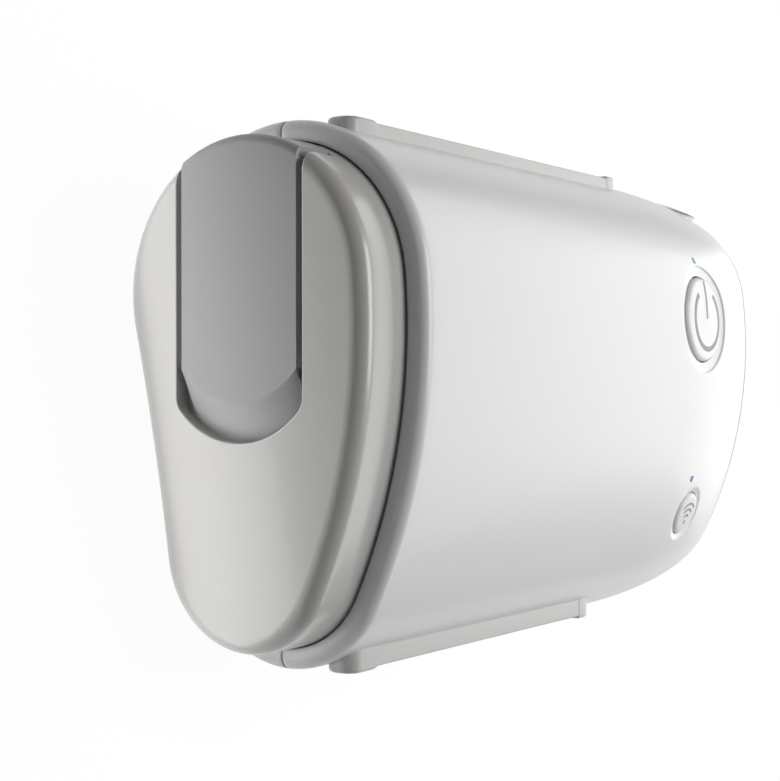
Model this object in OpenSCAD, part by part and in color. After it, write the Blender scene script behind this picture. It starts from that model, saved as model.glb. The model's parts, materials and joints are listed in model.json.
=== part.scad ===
// Travel CPAP machine: a teardrop housing in two halves, an air-inlet cap with a
// hinged filter cover, two buttons, a suspended blower and an air path to the outlet.
// Every sub-part is drawn in the housing's own frame: X runs along the length, Y from
// the thin side to the thick side, and Z towards the control face, with the seam
// between the halves at Z = 0. rest() then lays the housing on its feet.

/* [Housing] */
// Overall length, from the cap's face to the outlet collar
body_len = 136; // [126:1:146]
// Radius of the thick side
thick_r = 26.1; // [25:0.1:28]
// Radius of the thin side
thin_r = 18.8; // [18:0.1:20]
// Distance between the centres of the two sides
lobe_gap = 38; // [37:0.5:42]
// Radius of the crowned control face
face_r = 93; // [85:1:120]
// Radius of the hollowed underside
under_r = 400; // [300:10:800]
// Wall of both half housings
wall = 2.2; // [2:0.1:2.5]
// Length over which the far end draws in
taper_len = 35.5; // [34:0.5:37]
// How far the outline draws in at the far end
taper_in = 6.5; // [5.5:0.1:7]
// How far the far end lifts towards the control face
end_lift = 2.9; // [2:0.1:3.5]
// How far the thick side's centre moves outwards at the far end
thick_shift = 2.4; // [1.5:0.1:3]
// How far the thin side's centre moves outwards at the far end
thin_shift = 0.35; // [0:0.05:1]
// Rounding of the housing's front rim
rim_round = 1.5; // [1:0.1:1.8]
// Width of the front rim, from the outline to the cap's mouth
rim_w = 3.3; // [3.1:0.1:3.6]
// Depth of the front rim's flange
rim_depth = 3.6; // [3.4:0.1:4]

/* [Inlet cap] */
// Height of the cap in front of the rim
cap_depth = 10; // [9.6:0.1:11]
// Rounding of the cap's edge
cap_round = 2.6; // [2.2:0.1:3]
// Wall of the cap
cap_wall = 1.8; // [1.6:0.1:2]
// Length of the cap's spigot inside the rim
spigot_len = 3.2; // [2.6:0.1:3.2]
// Gap between pieces that seat in each other
fit_gap = 0.15; // [0.1:0.01:0.2]
// Thickness of the gasket behind the cap
gasket_t = 0.8; // [0.6:0.1:1]

/* [Filter cover] */
// Width of the cover
cover_w = 22.8; // [21:0.2:24]
// Thickness of the cover
cover_t = 2; // [1.8:0.1:2.2]
// Y of the lowest point of the cover's finger scoop
cover_low = -6.9; // [-9:0.1:-5]
// Rise of the cover's lower edge from its middle to its corners
cover_bow = 5; // [4:0.1:6]
// Y of the scoop's upper edge at the cover's middle
scoop_top = -1.3; // [-2:0.1:1]
// Depth of the scoop at its lower edge
scoop_depth = 1.2; // [0.8:0.1:1.3]
// Radius of the cover's hinge pin
pin_r = 0.6; // [0.5:0.05:0.7]
// Width of the hinge knuckle
knuckle_w = 14.4; // [12:0.2:15]
// Radius of the cheeks that hold the hinge pin
cheek_r = 3.65; // [3.4:0.05:3.8]
// Length of the filter opening
filter_l = 28; // [24:1:30]
// Width of the filter opening
filter_w = 17; // [14:1:18]
// Thickness of the air filter
filter_t = 4.4; // [4:0.1:5]

/* [Buttons] */
// From the housing's far end back to the power button
power_back = 25.8; // [25:0.2:27]
// Y of the power button
power_y = 14.2; // [13:0.2:15]
// Radius of the power button's dish
power_dish_r = 10; // [9.5:0.1:10.5]
// Radius of the power button
power_r = 8; // [7.5:0.1:8.5]
// From the housing's far end back to the pairing button
pairing_back = 21.2; // [20:0.2:23]
// Y of the pairing button
pairing_y = -23.5; // [-24:0.2:-22.5]
// Radius of the pairing button's dish
pairing_dish_r = 5.2; // [5:0.1:5.5]
// Radius of the pairing button
pairing_r = 4.2; // [4:0.1:4.4]
// Depth of both dishes
dish_depth = 0.8; // [0.6:0.1:1]
// How far a button's top lies below the control face
button_drop = 0.3; // [0.2:0.05:0.45]
// Travel of a button
press = 0.6; // [0.4:0.1:0.8]
// Gap round a button
button_gap = 0.3; // [0.25:0.01:0.35]
// Radius of a light guide
light_r = 0.6; // [0.5:0.1:0.8]

/* [Rails and feet] */
// How far the thick side's rail pads stand off the skin
rail_rise = 1.4; // [1.3:0.05:2.5]
// Z of the rails' middle line
rail_z = 8; // [7:0.2:9]
// Width of a rail's pads
rail_w = 5.6; // [5:0.1:6]
// How far the strip lies below the pads
rail_step = 0.5; // [0.3:0.1:0.7]
// Length of the rails' front pads
pad_len = 7; // [6:0.5:8]
// Length of the rails' rear pads
rear_pad_len = 5; // [4:0.5:6]
// Gap between a strip and its rear pad
pad_gap = 1.4; // [1:0.1:2]
// From the housing's far end back to the end of the thick side's rail
thick_rail_back = 28.8; // [28:0.2:34]
// From the housing's far end back to the end of the thin side's rail
thin_rail_back = 40.3; // [38:0.5:46]
// Radius of a foot
foot_r = 4.6; // [4:0.1:5]
// Thickness of a foot
foot_t = 1.6; // [1.3:0.1:1.7]
// How far a foot stands proud of the underside
foot_proud = 0.5; // [0.3:0.1:0.6]

/* [Outlet and power] */
// Depth of the end panel beyond the housing
panel_depth = 5; // [4.6:0.1:5.4]
// Wall of the end panel
panel_wall = 1.8; // [1.6:0.1:2]
// Radius of the outlet bore
outlet_r = 8.5; // [8:0.1:9]
// Depth of the outlet bore
outlet_depth = 14; // [13:0.5:15]
// Wall of the outlet socket
socket_wall = 1.8; // [1.6:0.1:2]
// Radius of the air passage between blower and outlet
air_r = 5; // [4.5:0.1:5.2]
// From the housing's far end back to the power inlet
dc_back = 7.8; // [7.6:0.2:8.4]
// Z of the power inlet
dc_z = 11.4; // [10.8:0.1:11.8]
// Radius of the power inlet's collar
dc_collar_r = 4.5; // [4.2:0.1:4.6]
// Radius of the power inlet's bore
dc_bore_r = 3.3; // [3:0.1:3.4]
// Depth of the power inlet's bore
dc_depth = 6; // [5.5:0.1:6.2]
// How far the collar stands proud of the housing
dc_proud = 0.35; // [0.2:0.05:0.5]

/* [Blower] */
// From the front rim to the blower's axis
blower_in = 50; // [49:0.5:51]
// Radius of the impeller
impeller_r = 15; // [14:0.2:15.2]
// Number of impeller blades
blades = 11; // [7:1:13]
// Height of the blades
blade_h = 6; // [5:0.2:6.4]
// Outer height of the volute
volute_h = 13; // [12.6:0.2:13.6]
// Wall of the volute
volute_wall = 1.5; // [1.2:0.1:1.6]
// Radius of the motor housing
motor_r = 11.5; // [11:0.1:12]
// Height of the motor housing
motor_h = 10; // [9.6:0.2:10.4]
// Radius of the motor shaft
shaft_r = 1.5; // [1.2:0.1:1.6]
// Radial running clearance of the shaft and the cover's pin
run_gap = 0.05; // [0.03:0.01:0.08]
// Height of a bearing
bearing_h = 2; // [1.8:0.1:2.2]
// Radius of a bearing
bearing_r = 3.5; // [3.2:0.1:3.8]

/* [Boards] */
// Thickness of the circuit boards
board_t = 1.2; // [1:0.1:1.6]
// From the control face down to the main board's underside, at the power button
board_drop = 8.47; // [8.27:0.05:8.87]
// Radius of a case screw's shank
screw_r = 1.1; // [0.9:0.1:1.3]
// Radius of a screw post
post_r = 3.2; // [2.8:0.1:3.4]

/* [Hidden] */
$fn = 48;
tiny = 0.01;
half_len = body_len / 2;
front_x = cap_depth - half_len;
end_x = half_len - panel_depth;
taper_x = end_x - taper_len;
// The two side centres sit so that the widest points are equally far from Y = 0.
thick_y = (lobe_gap + thin_r - thick_r) / 2;
thin_y = thick_y - lobe_gap;
rail_out = thick_y + sqrt(pow(thick_r, 2) - pow(rail_z, 2)) + rail_rise;
rail_x = front_x + 3.2;

power_x = end_x - power_back;
pairing_x = end_x - pairing_back;
dc_x = end_x - dc_back;
blower_x = front_x + blower_in;

// Resting pose: the underside's tangent line over both sides is laid level.
rest_tilt = asin((thick_r - thin_r) / lobe_gap);
rest_z = thick_r + foot_proud - thick_y * sin(rest_tilt);
rest_y = ((rail_out - thick_y) * cos(rest_tilt) + (rail_z + rail_w / 2) * sin(rest_tilt) - thick_r) / 2;

// Steps of the outline's arcs and of the tapered end.
thick_steps = 10;
face_steps = 7;
thin_steps = 8;
taper_steps = 8;
taper_last = 87;
taper_power = 0.6;

board_z = face_z(power_x, power_y) - board_drop;

muffler_l = 8;
muffler_pitch = 12;
muffler_slot_w = 5;
muffler_slot_h = 18;
chamber_wall = 1.5;
chamber_x0 = blower_x - 26;
chamber_x1 = blower_x + 32;
chamber_top = 13.4;
lid_t = 1.4;
bellows_room = 2.6;

air_y = thick_y + 2.3;
air_z = 2.9;
blower_y = air_y - 18.1;
volute_z = air_z - volute_h / 2;
scroll_start = impeller_r + 1.2;
scroll_end = impeller_r + 5.6;
motor_z = volute_z - motor_h;
impeller_z = volute_z + volute_wall + 1;
inlet_eye_r = 7.5;
mouth_x = 20.2;
lug_r = 3;
lug_reach = 21.5;
mount_r = 2.6;
lower_bearing_z = motor_z + volute_wall;
upper_bearing_z = volute_z - bearing_h;

knuckle_r = 1.5;
pin_x = front_x - 2.7;
filter_y = 16;
pin_y = thick_y + thick_r - rim_w - fit_gap - 2.45;
cover_back = pin_x + 0.2;
swing_r = norm([cover_back - pin_x, 2.45]) + 0.3;
well_x = -half_len + cover_t + 0.3;
grille_x = well_x + filter_t;

foot_xs = [front_x + 14, end_x - 43];
screw_spots = [[front_x + 18, 32], [front_x + 18, -33], [end_x - 25, 31], [end_x - 11, -12]];
screw_head_r = screw_r + 1.1;
screw_head_h = 1.6;
post_top = 12;

board_x0 = chamber_x0 + 4;
board_x1 = end_x - 13;
board_y0 = -16.5;
board_y1 = 27.5;
board_notch = post_r + 0.8;
flex_y = -14.55;
switch_h = 2;
stem_r = 1.4;
flange_t = 0.8;
flange_w = 1;
guide_h = 1.4;
pairing_crown = 40;
pairing_h = 6;
peg_at = 4.9;
led_h = [0.9, 0.7];
led_w = 2;
light_gap = 0.45;
through = 40;
// Length of a button's stem, for the height from the face down to its switch.
function stem_len(height) = height - press - 0.05;

seal_r = outlet_r - 1.1;
seal_h = 1.2;

// The inlet stands square to the length, so its collar is flush towards the front
// and proud towards the far end.
dc_turn = 1;
dc_rise = 24;
dc_floor = 1.15;
flow_x0 = chamber_x1 + 0.6;
flow_x1 = half_len - outlet_depth - 4;

// ---- Outline of the housing ----

// How far the tapered end has drawn in at x, from 0 to nearly 1.
function taper(x) =
    x <= taper_x ? 0 : 1 - pow(1 - pow(min(1, (x - taper_x) / taper_len), 2), taper_power);

function thick_c(g) = [thick_y + g * thick_shift, g * end_lift];
function thin_c(g) = [thin_y - g * thin_shift, g * end_lift];
function heading(p, q) = atan2(q[1] - p[1], q[0] - p[0]);

// The point at distance a from p and b from q, on the side away from the control face.
function meet(p, a, q, b) =
    let (d = norm(q - p), u = (q - p) / d, k = (d * d + a * a - b * b) / (2 * d))
    p + k * u + sqrt(a * a - k * k) * [-u[1], u[0]];

function face_c(g) = meet(thick_c(g), face_r - thick_r, thin_c(g), face_r - thin_r);
function under_c(g) = meet(thick_c(g), under_r + thick_r, thin_c(g), under_r + thin_r);

function arc(c, r, from, to, steps) =
    [for (i = [0 : steps]) let (a = from + (to - from) * i / steps) c + r * [cos(a), sin(a)]];
function tail(list) = [for (i = [1 : len(list) - 1]) list[i]];

// Control-face half of the outline, drawn in by d, from the thick side to the thin side.
function upper_half(d, g) =
    let (a = thick_c(g), b = thin_c(g), c = face_c(g), start = heading(c, a), stop = heading(c, b))
    concat(
        arc(a, thick_r - d, 0, start, thick_steps),
        tail(arc(c, face_r - d, start, stop, face_steps)),
        tail(arc(b, thin_r - d, stop, 180, thin_steps))
    );

// Underside half of the outline, drawn in by d, from the thin side to the thick side.
function lower_half(d, g) =
    let (a = thick_c(g), b = thin_c(g), c = under_c(g))
    concat(
        arc(b, thin_r - d, 180, 360 + heading(b, c), thin_steps),
        tail(arc(c, under_r + d, heading(c, b), heading(c, a), face_steps)),
        tail(arc(a, thick_r - d, heading(a, c), 0, thick_steps))
    );

function outline(d, g) = concat(upper_half(d, g), [for (i = [1 : len(lower_half(d, g)) - 2]) lower_half(d, g)[i]]);
function at_x(x, points) = [for (p = points) [x, p[0], p[1]]];
function taper_xs() = [for (i = [0 : taper_steps]) taper_x + taper_len * sin(taper_last * i / taper_steps)];
function between(x0, x1) = concat([x0], [for (x = taper_xs()) if (x > x0 + 0.1 && x < x1 - 0.1) x], [x1]);

// Height of the control face at a point, for a skin drawn in by d.
function face_z(x, y, d = 0) =
    let (g = taper(x), in = d + g * taper_in, c = face_c(g), a = thick_c(g), b = thin_c(g))
    y > a[0] + (thick_r - in) * cos(heading(c, a)) ? a[1] + sqrt(pow(thick_r - in, 2) - pow(y - a[0], 2))
    : y < b[0] + (thin_r - in) * cos(heading(c, b)) ? b[1] + sqrt(pow(thin_r - in, 2) - pow(y - b[0], 2))
    : c[1] + sqrt(pow(face_r - in, 2) - pow(y - c[0], 2));

// Height of the underside at a point.
function under_z(x, y) =
    let (g = taper(x), in = g * taper_in, c = under_c(g), a = thick_c(g), b = thin_c(g))
    y > a[0] + (thick_r - in) * cos(heading(a, c)) ? a[1] - sqrt(max(0, pow(thick_r - in, 2) - pow(y - a[0], 2)))
    : y < b[0] + (thin_r - in) * cos(heading(b, c)) ? b[1] - sqrt(max(0, pow(thin_r - in, 2) - pow(y - b[0], 2)))
    : c[1] + sqrt(pow(under_r + in, 2) - pow(y - c[0], 2));

// Turn that lays Z along the control face's normal at a point, and that normal.
function face_tilt(x, y) = let (step = 3) [
    atan((face_z(x, y + step) - face_z(x, y - step)) / (2 * step)),
    -atan((face_z(x + step, y) - face_z(x - step, y)) / (2 * step)), 0];
function face_normal(x, y) =
    let (t = face_tilt(x, y)) [cos(t[0]) * sin(t[1]), -sin(t[0]), cos(t[0]) * cos(t[1])];

// ---- Lofts ----

// Closed solid through loops that each go once round. The end caps join the points of
// a loop's first half to those of its second.
module loft(loops) {
    n = len(loops[0]);
    m = len(loops);
    end = (m - 1) * n;
    sides = [for (i = [0 : m - 2], j = [0 : n - 1])
        let (k = (j + 1) % n)
        each [[i * n + j, (i + 1) * n + j, i * n + k], [i * n + k, (i + 1) * n + j, (i + 1) * n + k]]];
    cap = concat([[0, 1, n - 1], [n / 2 - 1, n / 2, n / 2 + 1]],
        [for (j = [1 : n / 2 - 2]) each [[j, j + 1, n - j], [j + 1, n - j - 1, n - j]]]);
    last = [for (t = cap) [end + t[0], end + t[2], end + t[1]]];
    polyhedron([for (l = loops) each l], concat(sides, cap, last));
}

// Wall between an outer and an inner open line, lofted through the stations.
module loft_wall(outer, inner) {
    n = len(outer[0]);
    m = len(outer);
    count = m * n;
    function o(i, j) = i * n + j;
    function q(i, j) = count + i * n + j;
    outside = [for (i = [0 : m - 2], j = [0 : n - 2])
        each [[o(i, j), o(i + 1, j), o(i, j + 1)], [o(i, j + 1), o(i + 1, j), o(i + 1, j + 1)]]];
    inside = [for (i = [0 : m - 2], j = [0 : n - 2])
        each [[q(i, j), q(i, j + 1), q(i + 1, j)], [q(i, j + 1), q(i + 1, j + 1), q(i + 1, j)]]];
    ends = [for (j = [0 : n - 2])
        each [[o(0, j), o(0, j + 1), q(0, j)], [o(0, j + 1), q(0, j + 1), q(0, j)],
            [o(m - 1, j + 1), o(m - 1, j), q(m - 1, j)], [o(m - 1, j + 1), q(m - 1, j), q(m - 1, j + 1)]]];
    seams = [for (i = [0 : m - 2])
        each [[o(i, 0), q(i, 0), o(i + 1, 0)], [o(i + 1, 0), q(i, 0), q(i + 1, 0)],
            [o(i, n - 1), o(i + 1, n - 1), q(i, n - 1)], [o(i + 1, n - 1), q(i + 1, n - 1), q(i, n - 1)]]];
    polyhedron([for (l = concat(outer, inner)) each l], concat(outside, inside, ends, seams));
}

// Solid that fills the housing's outline, drawn in by d, from x0 to x1.
module skin_solid(d, x0, x1) {
    loft([for (x = between(x0, x1)) at_x(x, outline(d + taper(x) * taper_in, taper(x)))]);
}

// Stations of a half housing: x, how far the outside is drawn in, and the inside.
function shell_stations() = concat(
    [for (a = [90, 60, 30, 0]) [front_x + rim_round * (1 - sin(a)), rim_round * (1 - cos(a)), rim_w]],
    [[front_x + rim_depth, 0, rim_w], [front_x + rim_depth + 0.2, 0, wall]],
    [for (x = taper_xs()) [x, taper(x) * taper_in, taper(x) * taper_in + wall]]
);

module upper_wall() {
    loft_wall(
        [for (s = shell_stations()) at_x(s[0], upper_half(s[1], taper(s[0])))],
        [for (s = shell_stations()) at_x(s[0], upper_half(s[2], taper(s[0])))]
    );
}

module lower_wall() {
    loft_wall(
        [for (s = shell_stations()) at_x(s[0], lower_half(s[1], taper(s[0])))],
        [for (s = shell_stations()) at_x(s[0], lower_half(s[2], taper(s[0])))]
    );
}

// Cap's outer form, grown inwards by d on every side.
module cap_solid(d) {
    r = cap_round;
    stations = concat(
        [for (a = [90 : -15 : 0]) [-half_len + d + r * (1 - sin(a)), r * (1 - cos(a))]],
        [[front_x + 0.4, 0], [front_x + 0.6, -fit_gap], [front_x + spigot_len, -fit_gap]]
    );
    loft([for (s = stations) at_x(s[0], outline(rim_w + fit_gap + d + s[1], 0))]);
}

// ---- Frames ----

module rest() {
    translate([0, rest_y, rest_z]) rotate([rest_tilt, 0, 0]) children();
}

// Puts children on the control face at (x, y), with their Z along its normal.
module on_face(x, y) {
    translate([x, y, face_z(x, y)]) rotate(face_tilt(x, y)) children();
}

module along_x(x, y, z) {
    translate([x, y, z]) rotate([0, 90, 0]) children();
}

module at_dc() {
    y = thick_c(taper(dc_x))[0] + sqrt(pow(thick_r - taper(dc_x) * taper_in, 2) - pow(dc_z - taper(dc_x) * end_lift, 2));
    translate([dc_x, y, dc_z]) rotate([-90 + dc_rise, 0, -dc_turn]) children();
}

module at_blower(z) {
    translate([blower_x, blower_y, z]) children();
}

module ring(r_out, r_in, h) {
    difference() {
        cylinder(r = r_out, h = h);
        translate([0, 0, -tiny]) cylinder(r = r_in, h = h + 2 * tiny);
    }
}

// ---- Housing ----

module rail_plan(x0, length, width) {
    hull() {
        for (x = [x0 + width / 2, x0 + length - width / 2])
            translate([x, 0, 0]) circle(d = width, $fn = 32);
    }
}

// Rail as it lies on one side: a strip between a front and a rear pad.
module rail_block(length, side) {
    x0 = rail_x;
    rear_x = x0 + length - rear_pad_len;
    deep = 6;
    strip_w = rail_w - 0.8;
    translate([0, side * (rail_out - deep), rail_z]) rotate([side > 0 ? -90 : 90, 0, 0]) {
        linear_extrude(deep) rail_plan(x0, pad_len, rail_w);
        linear_extrude(deep) rail_plan(rear_x, rear_pad_len, rail_w);
        linear_extrude(deep - rail_step) translate([x0 + pad_len / 2, -strip_w / 2])
            square([rear_x - pad_gap - x0 - pad_len / 2, strip_w]);
        linear_extrude(deep - 2 * rail_step) translate([x0 + pad_len / 2, -strip_w / 2])
            square([rear_x - x0 - pad_len / 2 + rear_pad_len / 2, strip_w]);
    }
}

module rail(length, side) {
    difference() {
        rail_block(length, side);
        skin_solid(0, front_x, end_x - 10);
    }
}

module thick_side_rail() color([0.72, 0.71, 0.69]) rest() rail(end_x - thick_rail_back - rail_x, 1);

module thin_side_rail() color([0.72, 0.71, 0.69]) rest() rail(end_x - thin_rail_back - rail_x, -1);

// Crowned solid below the control face at (x, y), rounded across to the given radius.
module crown(x, y, drop, crown_r) {
    on_face(x, y) translate([0, 0, -drop - crown_r]) rotate([0, 90, 0])
        cylinder(r = crown_r, h = 60, center = true, $fn = 360);
}

// Recess for a button, whose floor follows the curved face.
module dish(x, y, r, crown_r) {
    difference() {
        on_face(x, y) translate([0, 0, -4]) cylinder(r = r, h = 8);
        crown(x, y, dish_depth, crown_r);
    }
}

module button_guide(x, y, r) {
    on_face(x, y) translate([0, 0, -wall - guide_h]) cylinder(r = r + button_gap + 1.2, h = guide_h + 1);
}

module button_bore(x, y, r) {
    on_face(x, y) translate([0, 0, -8]) cylinder(r = r + button_gap, h = 12);
}

// Outer edge of a screw post, towards the nearest side.
function post_edge(s) = s[1] + (s[1] > 0 ? post_r : -post_r);

// Pegs that carry the pairing button's board.
module pegs(r) {
    on_face(pairing_x, pairing_y) for (x = [-1, 1], y = [-1, 1])
        translate([x * peg_at, y * peg_at, -stem_len(pairing_h) - switch_h]) cylinder(r = r, h = stem_len(pairing_h) + switch_h - wall + 0.9);
}

function light_spots() = [[power_x - 0.9, power_y + power_dish_r + 1.2], [pairing_x - 2.9, pairing_y + pairing_dish_r + 1.8]];

// Length of a light guide, from the face down to just above its LED.
function light_len(i) = let (s = light_spots()[i])
    (face_z(s[0], s[1]) - board_z - board_t - led_h[i] - light_gap) / face_normal(s[0], s[1])[2];

module light_bores(r) {
    for (s = light_spots()) on_face(s[0], s[1]) translate([0, 0, -5]) cylinder(r = r, h = 8);
}

module front_shell() color([0.93, 0.93, 0.93]) rest() difference() {
    union() {
        upper_wall();
        for (s = screw_spots) translate([s[0], s[1], 0])
            cylinder(r = post_r, h = face_z(s[0], post_edge(s)) - 0.5);
        button_guide(power_x, power_y, power_r);
        button_guide(pairing_x, pairing_y, pairing_r);
        pegs(0.8);
    }
    dish(power_x, power_y, power_dish_r, face_r);
    dish(pairing_x, pairing_y, pairing_dish_r, pairing_crown);
    button_bore(power_x, power_y, power_r);
    button_bore(pairing_x, pairing_y, pairing_r);
    light_bores(light_r);
    at_dc() translate([0, 0, -dc_depth]) cylinder(r = dc_collar_r, h = 2 * dc_depth);
    for (s = screw_spots) translate([s[0], s[1], 0]) cylinder(r = screw_r, h = post_top);
}

module foot_bores(r, z0, z1) {
    for (x = foot_xs, y = [thick_y, thin_y])
        translate([x, y * cos(rest_tilt) + rest_y, z0]) cylinder(r = r, h = z1 - z0);
}

module rear_shell() color([0.9, 0.9, 0.9]) difference() {
    rest() difference() {
        union() {
            lower_wall();
            for (s = screw_spots) translate([s[0], s[1], under_z(s[0], post_edge(s)) + 0.5])
                cylinder(r = post_r, h = -under_z(s[0], post_edge(s)) - 0.5);
        }
        for (s = screw_spots) translate([s[0], s[1], -through]) {
            cylinder(r = screw_r + fit_gap, h = 2 * through);
            cylinder(r = screw_head_r + fit_gap, h = through + screw_seat(s) + screw_head_h);
        }
    }
    foot_bores(foot_r + fit_gap, -1, foot_t);
}

module feet() color([0.25, 0.25, 0.26]) foot_bores(foot_r, 0, foot_t);

// Where a screw's head starts.
function screw_seat(s) = under_z(s[0], post_edge(s)) + 1.2;

module case_screws() color([0.6, 0.6, 0.62]) rest() {
    for (s = screw_spots) translate([s[0], s[1], screw_seat(s)]) {
        difference() {
            cylinder(r = screw_head_r, h = screw_head_h);
            translate([0, 0, -tiny]) cylinder(r = 0.8, h = 0.9, $fn = 6);
        }
        cylinder(r = screw_r, h = post_top - 1 - screw_seat(s));
    }
}

// ---- Inlet cap and filter cover ----

// Plan of the filter cover in Y and Z, with a bowed lower edge.
module cover_plan(grow) {
    half = cover_w / 2 + grow;
    sag = cover_bow;
    r = (half * half + sag * sag) / (2 * sag);
    intersection() {
        translate([cover_low - grow, -half]) square([60, 2 * half]);
        translate([cover_low - grow + r, 0]) {
            circle(r = r, $fn = 96);
            translate([0, -half]) square([60, 2 * half]);
        }
    }
}

module cover_prism(grow, x0, x1) {
    translate([x1, 0, 0]) rotate([0, -90, 0]) rotate([0, 0, 90])
        linear_extrude(x1 - x0) mirror([0, 1, 0]) cover_plan(grow);
}

// Cheeks beside the knuckle, round the pin, past which the cover's edge swings.
module cheeks(r, apart) {
    for (side = [0, 1]) mirror([0, 0, side]) translate([pin_x, pin_y, apart / 2])
        cylinder(r = r, h = cover_w);
}

module filter_cover() color([0.6, 0.6, 0.6]) rest() difference() {
    union() {
        difference() {
            intersection() {
                cap_solid(0);
                cover_prism(0, -half_len - 1, cover_back);
            }
            cap_solid(cover_t);
            cheeks(cheek_r + fit_gap, knuckle_w - 2 * fit_gap);
        }
        translate([pin_x, pin_y, -knuckle_w / 2 + fit_gap]) cylinder(r = knuckle_r, h = knuckle_w - 2 * fit_gap);
    }
    translate([pin_x, pin_y, -cover_w]) cylinder(r = pin_r + run_gap, h = 2 * cover_w);
    scoop();
}

// Slanted cut with a bowed upper edge, which thins the cover's lower end for a finger.
module scoop() {
    half = cover_w / 2 + 1;
    r = (pow(cover_w / 2, 2) + cover_bow * cover_bow) / (2 * cover_bow);
    function edge(dx) = scoop_top - dx * (scoop_top - cover_low) / scoop_depth;
    function loop(dx) = concat(
        [for (i = [-6 : 6]) let (z = half * i / 6) [-half_len + dx, edge(dx) + r - sqrt(r * r - z * z), z]],
        [for (i = [5 : -1 : -5]) [-half_len + dx, cover_low - 20, half * i / 6]]
    );
    loft([loop(-0.5), loop(scoop_depth * 1.2)]);
}

module cover_pin() color([0.7, 0.7, 0.72]) rest()
    translate([pin_x, pin_y, -knuckle_w / 2 - 1.4]) cylinder(r = pin_r, h = knuckle_w + 2.8);

module inlet_cap() color([0.82, 0.81, 0.78]) rest() difference() {
    difference() {
        union() {
            cap_solid(0);
        }
        union() {
            along_x(grille_x, 0, 0) rotate([0, 0, 90])
                linear_extrude(40) polygon(outline(rim_w + fit_gap + cap_wall, 0));
        }
    }
    difference() {
        cover_prism(fit_gap, -half_len - 1, cover_back + fit_gap);
        cap_solid(cover_t + fit_gap);
        cheeks(cheek_r, knuckle_w);
    }
    translate([pin_x, pin_y, -knuckle_w / 2]) cylinder(r = swing_r, h = knuckle_w);
    translate([pin_x, pin_y, -knuckle_w / 2 - 1.4]) cylinder(r = pin_r, h = knuckle_w + 2.8);
    translate([-half_len - 1, filter_y - filter_l / 2, -filter_w / 2]) cube([20, filter_l, filter_w]);
}

module filter_grille() color([0.5, 0.5, 0.5]) rest() {
    l = filter_l + 3;
    w = filter_w + 3;
    translate([grille_x, filter_y - l / 2, -w / 2]) difference() {
        cube([1.4, l, w]);
        for (i = [0 : 6]) translate([-1, 2.4 + i * (l - 3.6) / 7, 2]) cube([4, (l - 3.6) / 7 - 1.2, w - 4]);
    }
}

module air_filter() color([0.95, 0.95, 0.93]) rest()
    translate([well_x, filter_y - filter_l / 2 + fit_gap, -filter_w / 2 + fit_gap])
        cube([filter_t, filter_l - 2 * fit_gap, filter_w - 2 * fit_gap]);

module cap_gasket() color([0.3, 0.3, 0.3]) rest()
    along_x(front_x + spigot_len, 0, 0) rotate([0, 0, 90]) linear_extrude(gasket_t) difference() {
        polygon(outline(rim_w, 0));
        polygon(outline(rim_w + fit_gap + cap_wall, 0));
    }

// ---- Buttons and lights ----

// Button whose top follows the face, with a flange behind the wall and a stem.
module button(x, y, r, stem, crown_r) {
    top = -wall - guide_h - 0.05;
    intersection() {
        on_face(x, y) translate([0, 0, top - flange_t]) cylinder(r = r, h = 8);
        crown(x, y, button_drop, crown_r);
    }
    on_face(x, y) {
        translate([0, 0, top - flange_t]) cylinder(r = r + flange_w, h = flange_t);
        translate([0, 0, -stem]) cylinder(r = stem_r, h = stem + top);
    }
}

module power_button() color([0.95, 0.95, 0.95]) rest()
    button(power_x, power_y, power_r, stem_len(face_z(power_x, power_y) - board_z - board_t - 1.1), face_r);

module pairing_button() color([0.95, 0.95, 0.95]) rest()
    button(pairing_x, pairing_y, pairing_r, stem_len(pairing_h), pairing_crown);

module light(i) {
    s = light_spots()[i];
    on_face(s[0], s[1]) translate([0, 0, -light_len(i)]) cylinder(r = light_r, h = light_len(i));
}

module power_light() color([0.3, 0.8, 0.45]) rest() light(0);

module pairing_light() color([0.25, 0.3, 0.75]) rest() light(1);

// ---- Outlet end ----

module outlet_panel() color([0.6, 0.6, 0.6]) rest() difference() {
    g = taper(taper_xs()[taper_steps]);
    edge = g * taper_in;
    x0 = taper_xs()[taper_steps];
    dome = half_len - 0.6 - x0;
    union() {
        loft(concat(
            [at_x(x0, outline(edge + 0.3, g)), at_x(x0 + 1, outline(edge + 0.2, g))],
            [for (a = [15 : 15 : 90]) at_x(x0 + 1 + (dome - 1) * sin(a), outline(edge + 0.2 + 7 * (1 - cos(a)), g))]
        ));
        loft([for (x = [x0 - 3, x0 + 0.2]) at_x(x, outline(edge + wall + fit_gap + (x < x0 ? 0.4 : 0), g))]);
    }
    loft([for (x = [x0 - 4, x0 + dome - 2.4]) at_x(x, outline(edge + wall + fit_gap + 2.2, g))]);
    along_x(x0 - through / 2, air_y, air_z) cylinder(r = outlet_r + socket_wall + fit_gap, h = through);
}

module outlet_socket() color([0.45, 0.45, 0.46]) rest() along_x(half_len, air_y, air_z) rotate([180, 0, 0]) {
    difference() {
        union() {
            cylinder(r = outlet_r + socket_wall, h = outlet_depth + 2);
            translate([0, 0, outlet_depth + 1]) cylinder(r = air_r + 1.6, h = half_len - flow_x1 - outlet_depth - 1);
            translate([0, 0, 3]) cylinder(r = outlet_r + socket_wall + 1.4, h = 1.6);
        }
        translate([0, 0, -tiny]) cylinder(r = outlet_r, h = outlet_depth);
        translate([0, 0, outlet_depth - tiny]) cylinder(r = seal_r, h = seal_h + tiny);
        translate([0, 0, outlet_depth]) cylinder(r = air_r, h = through);
    }
}

module outlet_seal() color([0.85, 0.85, 0.83]) rest() along_x(half_len - outlet_depth - seal_h, air_y, air_z)
    ring(seal_r, air_r + 0.6, seal_h);

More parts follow.
